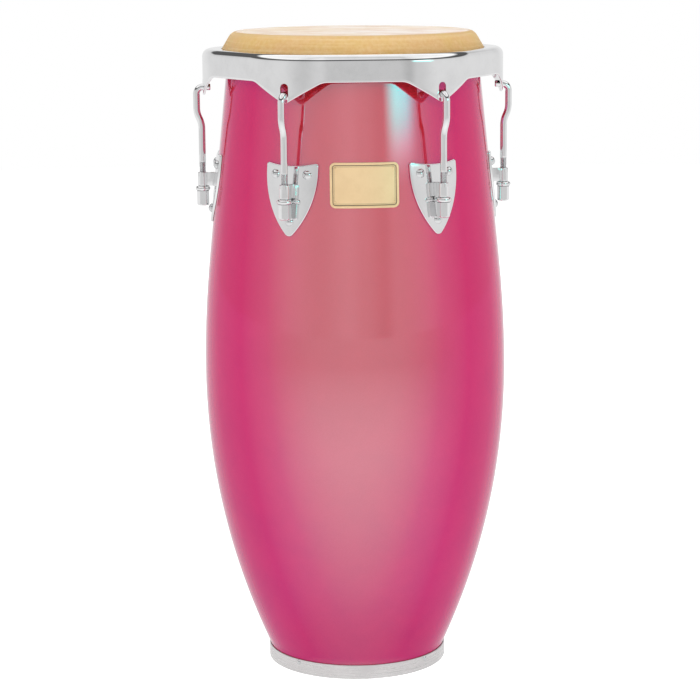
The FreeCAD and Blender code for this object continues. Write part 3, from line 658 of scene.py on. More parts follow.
@dataclass(frozen=True)
class Rawhide(Finish):
    """Natural skin: golden down the shoulder, with blotches, pores and rubbed bands; its pale cream top is
    a painted sheen.
    """

    lap_gold: Point = (0.47, 0.285, 0.083)
    shoulder_gold: Point = (0.555, 0.36, 0.12)
    painted_sheen_cream: Point = (0.82, 0.75, 0.70)
    # painted sheen: the pale cream that stands in for the top face's grazing sheen
    blotch_brown: Point = (0.57, 0.33, 0.165)
    band_gold: Point = (0.68, 0.51, 0.27)
    pore_brown: Point = (0.44, 0.22, 0.10)
    fine_grain: Point = (0.72, 0.62, 0.44)

    def lay(self, graph: NodeGraph, place: Socket) -> dict:
        """Lay out the skin from its lap up to its top.

        Args:
            graph: the material's nodes.
            place: object coordinates in metres.

        Returns:
            The surface shader's inputs.
        """
        height = graph.add("ShaderNodeSeparateXYZ", {0: place}).outputs[2]
        blotch = graph.noise(place, 26.0, 6.0, 0.62)
        fine = graph.noise(place, 240.0, 4.0, 0.6)
        pores = graph.add("ShaderNodeTexVoronoi", {"Vector": place, "Scale": 420.0}).outputs["Distance"]
        bands = graph.noise(graph.stretched(place, (2.0, 2.0, 110.0)), 3.2, 3.0, 0.55)
        golden = graph.mix(graph.remap(height, 0.7405, 0.7575), self.lap_gold, self.shoulder_gold)
        # painted sheen: the top face turns pale cream in place of a real sheen
        sheen_topped = graph.mix(graph.remap(height, 0.7611, 0.7619), golden, self.painted_sheen_cream)
        toned = graph.mix(graph.remap(blotch, 0.35, 0.72, 0.0, 0.55), sheen_topped, self.blotch_brown)
        banded = graph.mix(graph.remap(bands, 0.42, 0.68, 0.0, 0.38), toned, self.band_gold)
        specked = graph.mix(graph.remap(pores, 0.0, 0.22, 0.35, 0.0), banded, self.pore_brown)
        colour = graph.mix(graph.remap(fine, 0.35, 0.7, 0.0, 0.18), specked, self.fine_grain)
        rough = graph.remap(fine, 0.3, 0.7, 0.48, 0.66)
        normal = graph.bump(pores, 0.25, 0.12, graph.bump(fine, 0.25, 0.15, graph.bump(blotch, 0.3, 0.6)))
        return {
            "Base Color": colour, "Roughness": rough, "Normal": normal, "Subsurface Weight": 0.12,
            "Subsurface Radius": (0.6, 0.3, 0.15), "Subsurface Scale": 0.003,
        }


@dataclass(frozen=True)
class BrushedBrass(Finish):
    """Pale brushed brass, with the badge's border lines filled dark."""

    tone: Point = (0.73, 0.54, 0.31)
    worn_tone: Point = (0.66, 0.47, 0.26)
    line: Point = (0.045, 0.032, 0.028)

    def lay(self, graph: NodeGraph, place: Socket) -> dict:
        """Lay out the brushed metal and its dark line.

        Args:
            graph: the material's nodes.
            place: object coordinates in metres.

        Returns:
            The surface shader's inputs.
        """
        ink = graph.add("ShaderNodeAttribute", attribute_name="ink").outputs["Fac"]
        brushing = graph.noise(graph.stretched(place, (900.0, 30.0, 8.0)), 1.0, 3.0, 0.6)
        tarnish = graph.noise(place, 60.0, 5.0, 0.6)
        metal = graph.mix(graph.remap(tarnish, 0.35, 0.75, 0.0, 0.6), self.tone, self.worn_tone)
        colour = graph.mix(ink, metal, self.line)
        metallic = graph.maths("MULTIPLY_ADD", ink, -0.5, 0.5, clamp=True)
        rough = graph.maths("ADD", graph.remap(brushing, 0.3, 0.7, 0.30, 0.42),
                            graph.maths("MULTIPLY", ink, 0.2))
        normal = graph.bump(brushing, 0.15, 0.03)
        return {"Base Color": colour, "Metallic": metallic, "Roughness": rough, "Normal": normal}


@dataclass(frozen=True)
class Zinc(Finish):
    """Dull zinc plating with spangles, for the parts inside."""

    tone: Point = (0.50, 0.50, 0.51)
    spangle_tone: Point = (0.62, 0.62, 0.60)

    def lay(self, graph: NodeGraph, place: Socket) -> dict:
        """Lay out the spangled plating.

        Args:
            graph: the material's nodes.
            place: object coordinates in metres.

        Returns:
            The surface shader's inputs.
        """
        spangle = graph.add("ShaderNodeTexVoronoi", {"Vector": place, "Scale": 380.0}).outputs["Color"]
        share = graph.add("ShaderNodeSeparateColor", {0: spangle}).outputs[0]
        smudge = graph.noise(place, 55.0, 5.0, 0.6)
        colour = graph.mix(graph.remap(share, 0.0, 1.0, 0.0, 0.5), self.tone, self.spangle_tone)
        rough = graph.remap(smudge, 0.3, 0.7, 0.32, 0.55)
        normal = graph.bump(smudge, 0.2, 0.1)
        return {"Base Color": colour, "Metallic": 1.0, "Roughness": rough, "Normal": normal}


class Finishes:
    """The drum's materials, each made once."""

    def __init__(self) -> None:
        """Make the materials."""
        self.pearl = PearlShell("pearl_shell").material()
        self.fibre = GlassFibre("glass_fibre_inside").material()
        self.chrome = Chrome("mirror_chrome").material()
        self.thread = Chrome("thread_steel", (0.62, 0.62, 0.63), 0.22).material()
        self.band = SatinBand("satin_band").material()
        self.skin = Rawhide("rawhide").material()
        self.brass = BrushedBrass("brushed_brass").material()
        self.fastener = Chrome("fastener_chrome", (0.76, 0.765, 0.77), 0.07).material()
        self.zinc = Zinc("zinc_steel").material()


def paint(piece: Item, *materials: Material) -> None:
    """Give a piece its materials, in slot order.

    Args:
        piece: the mesh object.
        materials: its materials.
    """
    piece.data.materials.clear()
    for material in materials:
        piece.data.materials.append(material)


@dataclass
class Piece:
    """One finished visual piece and what it stands for."""

    item: Item
    body: str
    slot: Slot
    nodes: tuple[str, ...] = ()

    def settle(self) -> None:
        """Tie the piece to its body and its nodes of the frame."""
        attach(self.item, self.body)
        if self.nodes:
            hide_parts(*self.nodes)


def six_pieces(piece: Item, label: str, node: str, body: str) -> list[Piece]:
    """Plated piece copied to the six lugs.

    Args:
        piece: the piece, modelled facing +X; it is used up.
        label: name of the copies, to which a number from 1 is added.
        node: the CAD nodes that the copies stand for, numbered alike.
        body: their body, with braces where it has the number too.

    Returns:
        The six pieces.
    """
    numbers = range(1, len(LUG_TURNS) + 1)
    copies = Modeller.turned_copies(piece, [f"{label}_{number}" for number in numbers], LUG_TURNS)
    return [Piece(copy, body.format(number), Slot.PLATED, (f"{node}_{number}",))
            for number, copy in zip(numbers, copies)]


@dataclass
class ShellBuilder:
    """Models the moulded shell and its base band."""

    finishes: Finishes
    columns: int = 256
    foot_straight: float = 9.0
    edge_break: float = 2.4
    bore_top: float = 3.2
    bore_break: float = 0.4
    side_steps: int = 84
    edge_steps: int = 10
    blend_steps: int = 7
    inside_steps: int = 40
    fibre_facing: float = -0.3
    collar_lead: float = 2.0
    band_wall: float = 1.8
    band_lip: float = 6.0
    lip_break: float = 0.4
    band_foot_round: float = 1.2
    band_roll: float = 0.9

    def _outside(self) -> list[Section]:
        """Outer side from the foot up and over the bearing edge.

        Returns:
            Points as radius and height.
        """
        form = FORM
        points = [(form.foot_radius, form.foot_height), (form.foot_radius, self.foot_straight)]
        heights = spread(form.band_height, form.crown[1], self.side_steps)
        points += [(form.side(height), height) for height in heights]
        points += arc(form.edge_centre, form.edge_round, form.taper, 90.0, self.edge_steps)[1:]
        return points

    def _inside(self) -> list[Section]:
        """Inner side from the bearing edge down to the foot.

        Returns:
            Points as radius and height.
        """
        form = FORM
        bore = form.crown_radius - form.collar_wall
        collar_low = form.edge_top - form.collar_depth
        blend_low = collar_low - form.collar_blend
        points = [(bore + self.bore_break, form.edge_top - self.edge_break),
                  (bore, form.edge_top - self.bore_top), (bore, collar_low + self.collar_lead)]
        inner_start = form.cone(blend_low, -form.wall)
        for share in spread(0.0, 1.0, self.blend_steps):
            eased = share * share * (3.0 - 2.0 * share)
            points.append((bore + (inner_start - bore) * eased, collar_low - form.collar_blend * share))
        heights = spread(blend_low, form.band_height, self.inside_steps)[1:]
        points += [(form.side(height, form.wall), height) for height in heights]
        points.append((form.side(form.band_height, form.wall), form.foot_height))
        return points

    def shell(self) -> Piece:
        """The tapered shell with its collar, pearl outside and glass fibre inside.

        Returns:
            The shell's piece.
        """
        outside = self._outside()
        piece = Modeller.lathe("shell_body", self.columns, outside + self._inside())
        paint(piece, self.finishes.pearl, self.finishes.fibre)
        for face in piece.data.polygons:
            radial = Vector((face.center.x, face.center.y, 0.0)).normalized()
            face.material_index = 1 if face.normal.dot(radial) < self.fibre_facing else 0
        Modeller.smooth(piece, 40.0)
        return Piece(piece, "shell", Slot.SHELL, ("shell",))

    def band(self) -> Piece:
        """Ring rolled over at the top, with a lip under the foot.

        Returns:
            The band's piece.
        """
        outer = FORM.foot_radius + self.band_wall
        inner = outer - self.band_lip
        soft = self.lip_break
        foot_round = self.band_foot_round
        profile = [(inner, soft), (inner + soft, 0.0), (outer - foot_round - soft, 0.0)]
        profile += arc((outer - foot_round, foot_round), foot_round, -90.0, 0.0, 5)[1:]
        profile += [(outer, 7.0), (outer, 12.0), (outer, 15.6)]
        roll = self.band_roll
        profile += arc((outer - roll, FORM.band_height - roll), roll, 0.0, 180.0, 8)
        profile += [(FORM.foot_radius, 10.0), (FORM.foot_radius, FORM.foot_height),
                    (inner + 0.3, FORM.foot_height), (inner, FORM.foot_height - soft)]
        piece = Modeller.lathe("base_band_ring", self.columns, profile)
        paint(piece, self.finishes.band)
        Modeller.smooth(piece)
        return Piece(piece, "shell", Slot.BAND, ("base_band",))


@dataclass
class HeadBuilder:
    """Models the rawhide head lapped round its hoop."""

    finishes: Finishes
    columns: int = 288
    thickness: float = 2.0
    lean: float = 31.0
    bend: float = 8.0
    skirt_radius: float = 154.5
    hoop_radius: float = 157.75
    hoop_height: float = 735.5
    wrap_inner: float = 3.25
    tuck: float = 0.4
    top_rings: tuple[float, ...] = (20.0, 45.0, 70.0, 92.0, 110.0, 123.0, 131.0)
    underside_rings: tuple[float, ...] = (123.0, 92.0, 45.0)
    dish: float = 0.22
    crease: float = 0.06
    taut_radius: float = 90.0

    def _profile(self) -> list[Section]:
        """Outline of the skin, from the middle of the top, out round the hoop and back underneath.

        Returns:
            Points as radius and height.
        """
        centre = FORM.edge_centre
        lean = math.radians(self.lean)
        outer_arc = FORM.edge_round + self.thickness
        start = (centre[0] + outer_arc * math.cos(lean), centre[1] + outer_arc * math.sin(lean))
        foot_height = start[1] - (self.skirt_radius - start[0]) / math.tan(lean)
        bend_low = foot_height - self.bend * math.tan(lean / 2.0)
        bend_centre = (self.skirt_radius - self.bend, bend_low)
        wrap_outer = self.wrap_inner + self.thickness
        hoop = (self.hoop_radius, self.hoop_height)
        top = FORM.head_height
        points = [(0.0, top)] + [(radius, top) for radius in self.top_rings]
        points += arc(centre, outer_arc, 90.0, self.lean, 14)
        points += arc(bend_centre, self.bend, self.lean, 0.0, 6)
        points += [(self.skirt_radius, self.hoop_height)]
        points += arc(hoop, self.wrap_inner, 180.0, 360.0, 14)[1:]
        lap = self.hoop_height + self.tuck
        points += [(self.hoop_radius + self.wrap_inner, lap), (self.hoop_radius + wrap_outer, lap)]
        points += arc(hoop, wrap_outer, 360.0, 180.0, 16)
        points += [(self.skirt_radius - self.thickness, bend_low)]
        points += arc(bend_centre, self.bend - self.thickness, 0.0, self.lean, 5)[1:]
        points += arc(centre, FORM.edge_round, self.lean, 90.0, 10)
        underside = FORM.edge_top
        points += [(radius, underside) for radius in self.underside_rings] + [(0.0, underside)]
        return points

    def head(self) -> Piece:
        """The head, with the faint dishing and creases of a tuned skin.

        Returns:
            The head's piece.
        """
        profile = self._profile()

        def place(row: int, column: int) -> Point:
            """Point of the skin, sunk a little where it is stretched.

            Args:
                row: the ring, from 0.
                column: the step round the ring.

            Returns:
                The point in millimetres.
            """
            turn = math.tau * column / self.columns
            radius, height = profile[row]
            across, height_shaded = radius * math.cos(turn), radius * math.sin(turn)
            if 1.0 < radius < self.skirt_radius - 0.2 and height > self.hoop_height + 4.0:
                spot = Vector((across * 0.03, height_shaded * 0.03, height * 0.05))
                sink = self.dish * (0.5 + 0.5 * noise.noise(spot))
                sink += self.crease * (1.0 + math.sin(turn * 6.0 + 0.6))
                sink *= min(1.0, radius / self.taut_radius)
                shrink = 1.0 - sink / 400.0
                return (across * shrink, height_shaded * shrink, height - sink)
            return (across, height_shaded, height)

        piece = Modeller.rings("head_rawhide", self.columns, len(profile), place)
        paint(piece, self.finishes.skin)
        Modeller.smooth(piece, 50.0)
        return Piece(piece, "shell", Slot.SKIN, ("head_skin",))


@dataclass
class RimBuilder:
    """Models the pressed hexagonal rim with its slotted tabs."""

    finishes: Finishes
    top: float = 742.0
    wall: float = 3.0
    apothem: float = 167.0
    reach: float = 177.5
    shoulder: float = 9.0
    opening: float = 155.0
    apron_low: float = 711.0
    tab_low: float = 688.0
    tab_tip: float = 10.0
    tab_root: float = 48.0
    tab_sweep: float = 20.0
    slot_width: float = 10.0
    slot_length: float = 17.0
    slot_low: float = 693.0
    tip_run: float = 6.4
    slope_run: float = 16.0
    half_stations: list[float] = field(default_factory=list)

    def __post_init__(self) -> None:
        """Work out where the columns stand along half a side of the hexagon."""
        half_side = self.corner_radius * HALF_SPACING + self.corner_centre * 0.5
        near = spread(0.0, self.tip_run, 8)
        middle = spread(self.tip_run, self.slope_run, 10)[1:]
        arch = spread(self.slope_run, self.corner_radius * HALF_SPACING, 22)[1:]
        flat = spread(self.corner_radius * HALF_SPACING, half_side, 12)[1:]
        self.half_stations = near + middle + arch + flat

    @property
    def corner_radius(self) -> float:
        """Radius of the hexagon's large corners."""
        narrow = math.cos(HALF_SPACING)
        return (self.apothem - self.reach * narrow) / (1.0 - narrow)

    @property
    def corner_centre(self) -> float:
        """Distance of a corner's centre from the drum's axis."""
        return self.reach - self.corner_radius

    def _station(self, along: float) -> tuple[float, float, float, float]:
        """Point and outward normal on the outline, at a distance from a corner, in the corner's frame.

        Args:
            along: distance round the outline from the middle of the corner, either way.

        Returns:
            The point, then the normal, as outward and sideways.
        """
        bend = self.corner_radius * HALF_SPACING
        side = math.copysign(1.0, along)
        reach = abs(along)
        if reach <= bend:
            turn = reach / self.corner_radius
            across = self.corner_centre + self.corner_radius * math.cos(turn)
            height_shaded = self.corner_radius * math.sin(turn)
            return (across, side * height_shaded, math.cos(turn), side * math.sin(turn))
        turn = HALF_SPACING
        run = reach - bend
        across = self.corner_centre + self.corner_radius * math.cos(turn) - run * math.sin(turn)
        height_shaded = self.corner_radius * math.sin(turn) + run * math.cos(turn)
        return (across, side * height_shaded, math.cos(turn), side * math.sin(turn))

    def low(self, offset: float) -> float:
        """Height of the apron's lower edge at a sideways distance from the middle of a tab.

        Args:
            offset: the sideways distance, either way.

        Returns:
            The height.
        """
        span = math.hypot(self.tab_root, self.apron_low - self.tab_low - self.tab_tip - self.tab_sweep)
        drop = self.apron_low - self.tab_low - self.tab_tip - self.tab_sweep
        lean = math.asin((self.tab_tip + self.tab_sweep) / span) + math.atan(drop / self.tab_root)
        reach = abs(offset)
        neck = self.tab_tip * math.sin(lean)
        hip = self.tab_root - self.tab_sweep * math.sin(lean)
        if reach <= neck:
            return self.tab_low + self.tab_tip - math.sqrt(self.tab_tip ** 2 - reach ** 2)
        if reach >= self.tab_root:
            return self.apron_low
        if reach >= hip:
            rise = math.sqrt(self.tab_sweep ** 2 - (self.tab_root - reach) ** 2)
            return self.apron_low - self.tab_sweep + rise
        neck_height = self.tab_low + self.tab_tip - self.tab_tip * math.cos(lean)
        return neck_height + (reach - neck) * math.tan(lean)

    def _rows(self) -> list[tuple[RimRow, float, float]]:
        """Section of the rim as (kind, inset, height); an edge row's height is above the lower edge.

        Returns:
            The rows, from the mouth over the shoulder, down, under the edge and up inside.
        """
        inner_shoulder = self.shoulder - self.wall
        shoulder_centre = self.top - self.shoulder
        mouth = ((0.0, self.top - self.wall + 0.2), (0.0, self.top - 0.8), (0.25, self.top - 0.25),
                 (0.8, self.top))
        edge = ((0.0, 0.9), (0.12, 0.42), (0.42, 0.12), (0.9, 0.0), (2.1, 0.0), (2.58, 0.12),
                (2.88, 0.42), (3.0, 0.9))
        rows = [(RimRow.MOUTH, inset, height) for inset, height in mouth]
        for angle in spread(90.0, 0.0, 12):
            turn = math.radians(angle)
            rows.append((RimRow.SIDE, self.shoulder * (1.0 - math.cos(turn)),
                         shoulder_centre + self.shoulder * math.sin(turn)))
        rows += [(RimRow.SKIRT, 0.0, share) for share in (0.12, 0.3, 0.5, 0.7, 0.88)]
        rows += [(RimRow.EDGE, inset, height) for inset, height in edge]
        rows += [(RimRow.SKIRT, self.wall, share) for share in (0.8, 0.4)]
        for angle in spread(0.0, 90.0, 7):
            turn = math.radians(angle)
            rows.append((RimRow.SIDE, self.wall + inner_shoulder * (1.0 - math.cos(turn)),
                         shoulder_centre + inner_shoulder * math.sin(turn)))
        rows.append((RimRow.MOUTH, 0.3, self.top - self.wall))
        return rows

    def rim(self) -> Piece:
        """The rim, with its slots cut through.

        Returns:
            The rim's piece.
        """
        rows = self._rows()
        half = self.half_stations
        along = [-station for station in reversed(half[1:])] + half[:-1]
        per_corner = len(along)
        columns = per_corner * 6
        shoulder_centre = self.top - self.shoulder

        def place(row: int, column: int) -> Point:
            """Point of the rim's section at a station of the hexagon.

            Args:
                row: the ring, from 0.
                column: the step round the ring.

            Returns:
                The point in millimetres.
            """
            kind, inset, height = rows[row]
            corner, index = divmod(column, per_corner)
            across, height_shaded, normal_x, normal_y = self._station(along[index])
            if kind is RimRow.MOUTH:
                turn = math.atan2(height_shaded, across)
                across = (self.opening + inset) * math.cos(turn)
                height_shaded = (self.opening + inset) * math.sin(turn)
            else:
                across -= inset * normal_x
                height_shaded -= inset * normal_y
                if kind is RimRow.EDGE:
                    height += self.low(height_shaded)
                if kind is RimRow.SKIRT:
                    base = self.low(height_shaded) + 0.9
                    height = shoulder_centre + (base - shoulder_centre) * height
            turn = math.radians(LUG_TURNS[corner])
            return (across * math.cos(turn) - height_shaded * math.sin(turn),
                    across * math.sin(turn) + height_shaded * math.cos(turn), height)

        piece = Modeller.rings("rim_hoop", columns, len(rows), place, closed=True)
        Modeller.boolean(piece, self._slot_cutter(), "DIFFERENCE")
        paint(piece, self.finishes.chrome)
        Modeller.smooth(piece, 35.0)
        return Piece(piece, "rim", Slot.PLATED, ("rim",))

    def _slot_cutter(self) -> Item:
        """Six round-ended bars that cut the slots.

        Returns:
            The bars, joined.
        """
        half = self.slot_width / 2.0
        outline = arc((0.0, self.slot_low + self.slot_length - half), half, 0.0, 180.0, 14)
        outline += arc((0.0, self.slot_low + half), half, 180.0, 360.0, 14)
        depths = (150.0, 150.0, 190.0, 190.0)
        shrink = (0.0, 1.0, 1.0, 0.0)
        middle = self.slot_low + self.slot_length / 2.0

        def place(row: int, column: int) -> Point:
            """Point of a bar that closes at both ends."""
            side, height = outline[column]
            return (depths[row], side * shrink[row], middle + (height - middle) * shrink[row])

        bar = Modeller.rings("slot_bar", len(outline), 4, place)
        copies = Modeller.turned_copies(bar, [f"slot_bar_{index}" for index in range(6)], LUG_TURNS)
        return Modeller.join("slot_bars", copies)


@dataclass
class LugBuilder:
    """Models the hooked lugs, their tuning nuts and their brackets."""

    finishes: Finishes
    columns: int = 28
    rod: float = 4.0
    reach: float = 179.3
    hook_reach: float = 185.0
    hook_height: float = 697.1
    hook_bend: float = 8.0
    hook_tip: float = 168.5
    knee_low: float = 648.1
    knee_high: float = 673.1
    thread_start: float = 610.0
    rod_base: float = 559.0
    shank: tuple[float, ...] = (611.6, 620.0, 634.0)
    pitch: float = 1.25
    thread_major: float = 3.9
    thread_minor: float = 3.3
    bracket_base: float = 580.8
    bracket_height: float = 16.2
    socket: float = 6.0
    socket_round: float = 0.9
    bore: float = 4.25
    web: float = 8.0
    web_bevel: float = 0.8
    nut_gap: float = 0.15
    nut_columns: int = 96
    flange: float = 9.0
    half_flange: float = 2.8
    hexagon_height: float = 17.6
    half_flats: float = 6.5
    corner_wear: float = 0.22

    def _stations(self) -> list[tuple[float, float, float, float]]:
        """Middle line of the rod above the thread as (across, height, lean in degrees, radius).

        Returns:
            The stations, from the thread up and over to the hook's tip.
        """
        shift = self.hook_reach - self.reach
        length = self.knee_high - self.knee_low
        bend = (shift ** 2 + length ** 2) / (4.0 * shift)
        swing = math.degrees(math.asin(length / 2.0 / bend))
        points = [(self.reach, height, 0.0, self.rod) for height in (*self.shank, self.knee_low)]
        knees = [(self.reach, self.knee_low, 1.0, spread(0.0, swing, 8)[1:]),
                 (self.hook_reach, self.knee_high, -1.0, spread(swing, 0.0, 8)[1:])]
        for across, height, way, angles in knees:
            for angle in angles:
                turn = math.radians(angle)
                points.append((across + way * bend * (1.0 - math.cos(turn)),
                               height + way * bend * math.sin(turn), angle, self.rod))
        bend_base = self.hook_height - self.hook_bend
        points.append((self.hook_reach, bend_base - 6.0, 0.0, self.rod))
        for angle in spread(0.0, 90.0, 14):
            turn = math.radians(angle)
            points.append((self.hook_reach - self.hook_bend * (1.0 - math.cos(turn)),
                           bend_base + self.hook_bend * math.sin(turn), -angle, self.rod))
        for ahead, radius in ((1.2, 4.0), (0.5, 3.8), (0.12, 3.3), (0.0, 2.6), (0.0, 0.0)):
            points.append((self.hook_tip + ahead, self.hook_height, -90.0, radius))
        return points

    def lugs(self) -> list[Piece]:
        """Six hooked rods with a real helical thread below the shank.

        Returns:
            The lugs' pieces.
        """
        steps = int(round((self.thread_start - self.rod_base) / self.pitch * 4.0))
        thread_rows = spread(self.rod_base, self.thread_start, steps)
        stations = self._stations()
        total = 2 + len(thread_rows) + len(stations)

        def place(row: int, column: int) -> Point:
            """Point of the end and thread below, or of a station of the rod above.

            Args:
                row: the ring, from 0.
                column: the step round the ring.

            Returns:
                The point in millimetres.
            """
            turn = math.tau * column / self.columns
            if row < 2 + len(thread_rows):
                if row == 0:
                    radius, height = 0.0, self.rod_base
                elif row == 1:
                    radius, height = 2.9, self.rod_base
                else:
                    height = thread_rows[row - 2]
                    phase = (height / self.pitch - turn / math.tau) % 1.0
                    crest = abs(2.0 * phase - 1.0)
                    fade = min(1.0, (height - self.rod_base) / 1.5)
                    runout = min(1.0, max(0.0, (self.thread_start - height) / 2.0))
                    depth = (self.thread_major - self.thread_minor) * crest * runout
                    radius = self.thread_major - depth - 0.6 * (1.0 - fade)
                return (self.reach + radius * math.cos(turn), radius * math.sin(turn), height)
            across, height, lean, radius = stations[row - 2 - len(thread_rows)]
            tilt = math.radians(lean)
            return (across + radius * math.cos(turn) * math.cos(tilt), radius * math.sin(turn),
                    height - radius * math.cos(turn) * math.sin(tilt))

        rod = Modeller.rings("lug_rod", self.columns, total, place)
        paint(rod, self.finishes.chrome, self.finishes.thread)
        limit = (self.thread_start - 0.5) * MM
        for face in rod.data.polygons:
            face.material_index = 1 if face.center.z < limit else 0
        Modeller.smooth(rod, 50.0)
        return six_pieces(rod, "lug_rod", "lug", "rim")

    def nuts(self) -> list[Piece]:
        """Six tuning nuts: a rounded flange over a tall hexagon with a rounded nose.

        Returns:
            The nuts' pieces.
        """
        top = self.bracket_base - self.nut_gap
        flange = self.flange
        half_flange = self.half_flange
        flange_low = top - 2.0 * half_flange
        base = flange_low - self.hexagon_height
        corner = self.half_flats / math.cos(HALF_SPACING)
        bore = self.thread_major + 0.05
        columns = self.nut_columns
        profile = [(bore, flange_low), (bore, top - 0.5), (bore + 0.5, top), (flange - half_flange, top)]
        profile += arc((flange - half_flange, flange_low + half_flange), half_flange, 90.0, -90.0, 14)[1:]
        profile += [(corner + 0.4, flange_low), (corner, flange_low - 0.4), (corner, flange_low - 4.0),
                    (corner, base + 8.0), (corner, base + 3.6)]
        profile += arc((corner - 3.0, base + 3.0), 3.0, 0.0, -90.0, 8)
        profile += [(bore + 0.4, base), (bore, base + 0.4), (bore, base + 8.0)]

        def place(row: int, column: int) -> Point:
            """Point of the nut, with its hexagon cut flat.

            Args:
                row: the ring, from 0.
                column: the step round the ring.

            Returns:
                The point in millimetres.
            """
            turn = math.tau * column / columns
            radius, height = profile[row]
            if height < flange_low - 0.2 and radius > bore + 0.5:
                share = (math.degrees(turn) % 60.0) - 30.0
                flat = self.half_flats / math.cos(math.radians(share))
                radius = min(radius, flat, corner - self.corner_wear)
            return (self.reach + radius * math.cos(turn), radius * math.sin(turn), height)

        nut = Modeller.rings("tuning_nut", columns, len(profile), place, closed=True)
        paint(nut, self.finishes.chrome)
        Modeller.smooth(nut, 24.0)
        return six_pieces(nut, "tuning_nut_turned", "tuning_nut", "tuning_nut_{}")

    def brackets(self) -> list[Piece]:
        """Six sockets on webs that run in to the side plates.

        Returns:
            The brackets' pieces.
        """
        low, high = self.bracket_base, self.bracket_base + self.bracket_height
        round_off = self.socket_round
        profile = [(self.bore, low + 0.5), (self.bore, high - 0.5), (self.bore + 0.5, high)]
        profile += arc((self.socket - round_off, high - round_off), round_off, 90.0, 0.0, 5)
        profile += [(self.socket, high - 5.0), (self.socket, low + 5.0)]
        profile += arc((self.socket - round_off, low + round_off), round_off, 0.0, -90.0, 5)
        profile += [(self.bore + 0.5, low)]
        socket = Modeller.lathe("bracket_socket", 64, profile, axis=(self.reach, 0.0))
        Modeller.deselect()
        bpy.ops.mesh.primitive_cube_add(size=1.0)
        web = bpy.context.object
        near = FORM.cone(low, 2.8) - 0.3
        far = self.reach - self.bore - 0.6
        for vertex in web.data.vertices:
            inner = vertex.co.x < 0.0
            half = self.web / 2.0
            height = low + 0.01 if vertex.co.z < 0.0 else high - 0.01
            inset = FORM.slope * (height - low) if inner else 0.0
            across = near - inset if inner else far
            vertex.co = (across * MM, math.copysign(half, vertex.co.y) * MM, height * MM)
        Modeller.only(web)
        bevel = web.modifiers.new("Soft edges", "BEVEL")
        bevel.width = self.web_bevel * MM
        bevel.segments = 3
        bpy.ops.object.modifier_apply(modifier=bevel.name)
        Modeller.boolean(socket, web, "UNION")
        Modeller.tidy(socket, 0.0005)
        paint(socket, self.finishes.chrome)
        Modeller.smooth(socket, 30.0)
        return six_pieces(socket, "lug_bracket_cast", "lug_bracket", "shell")


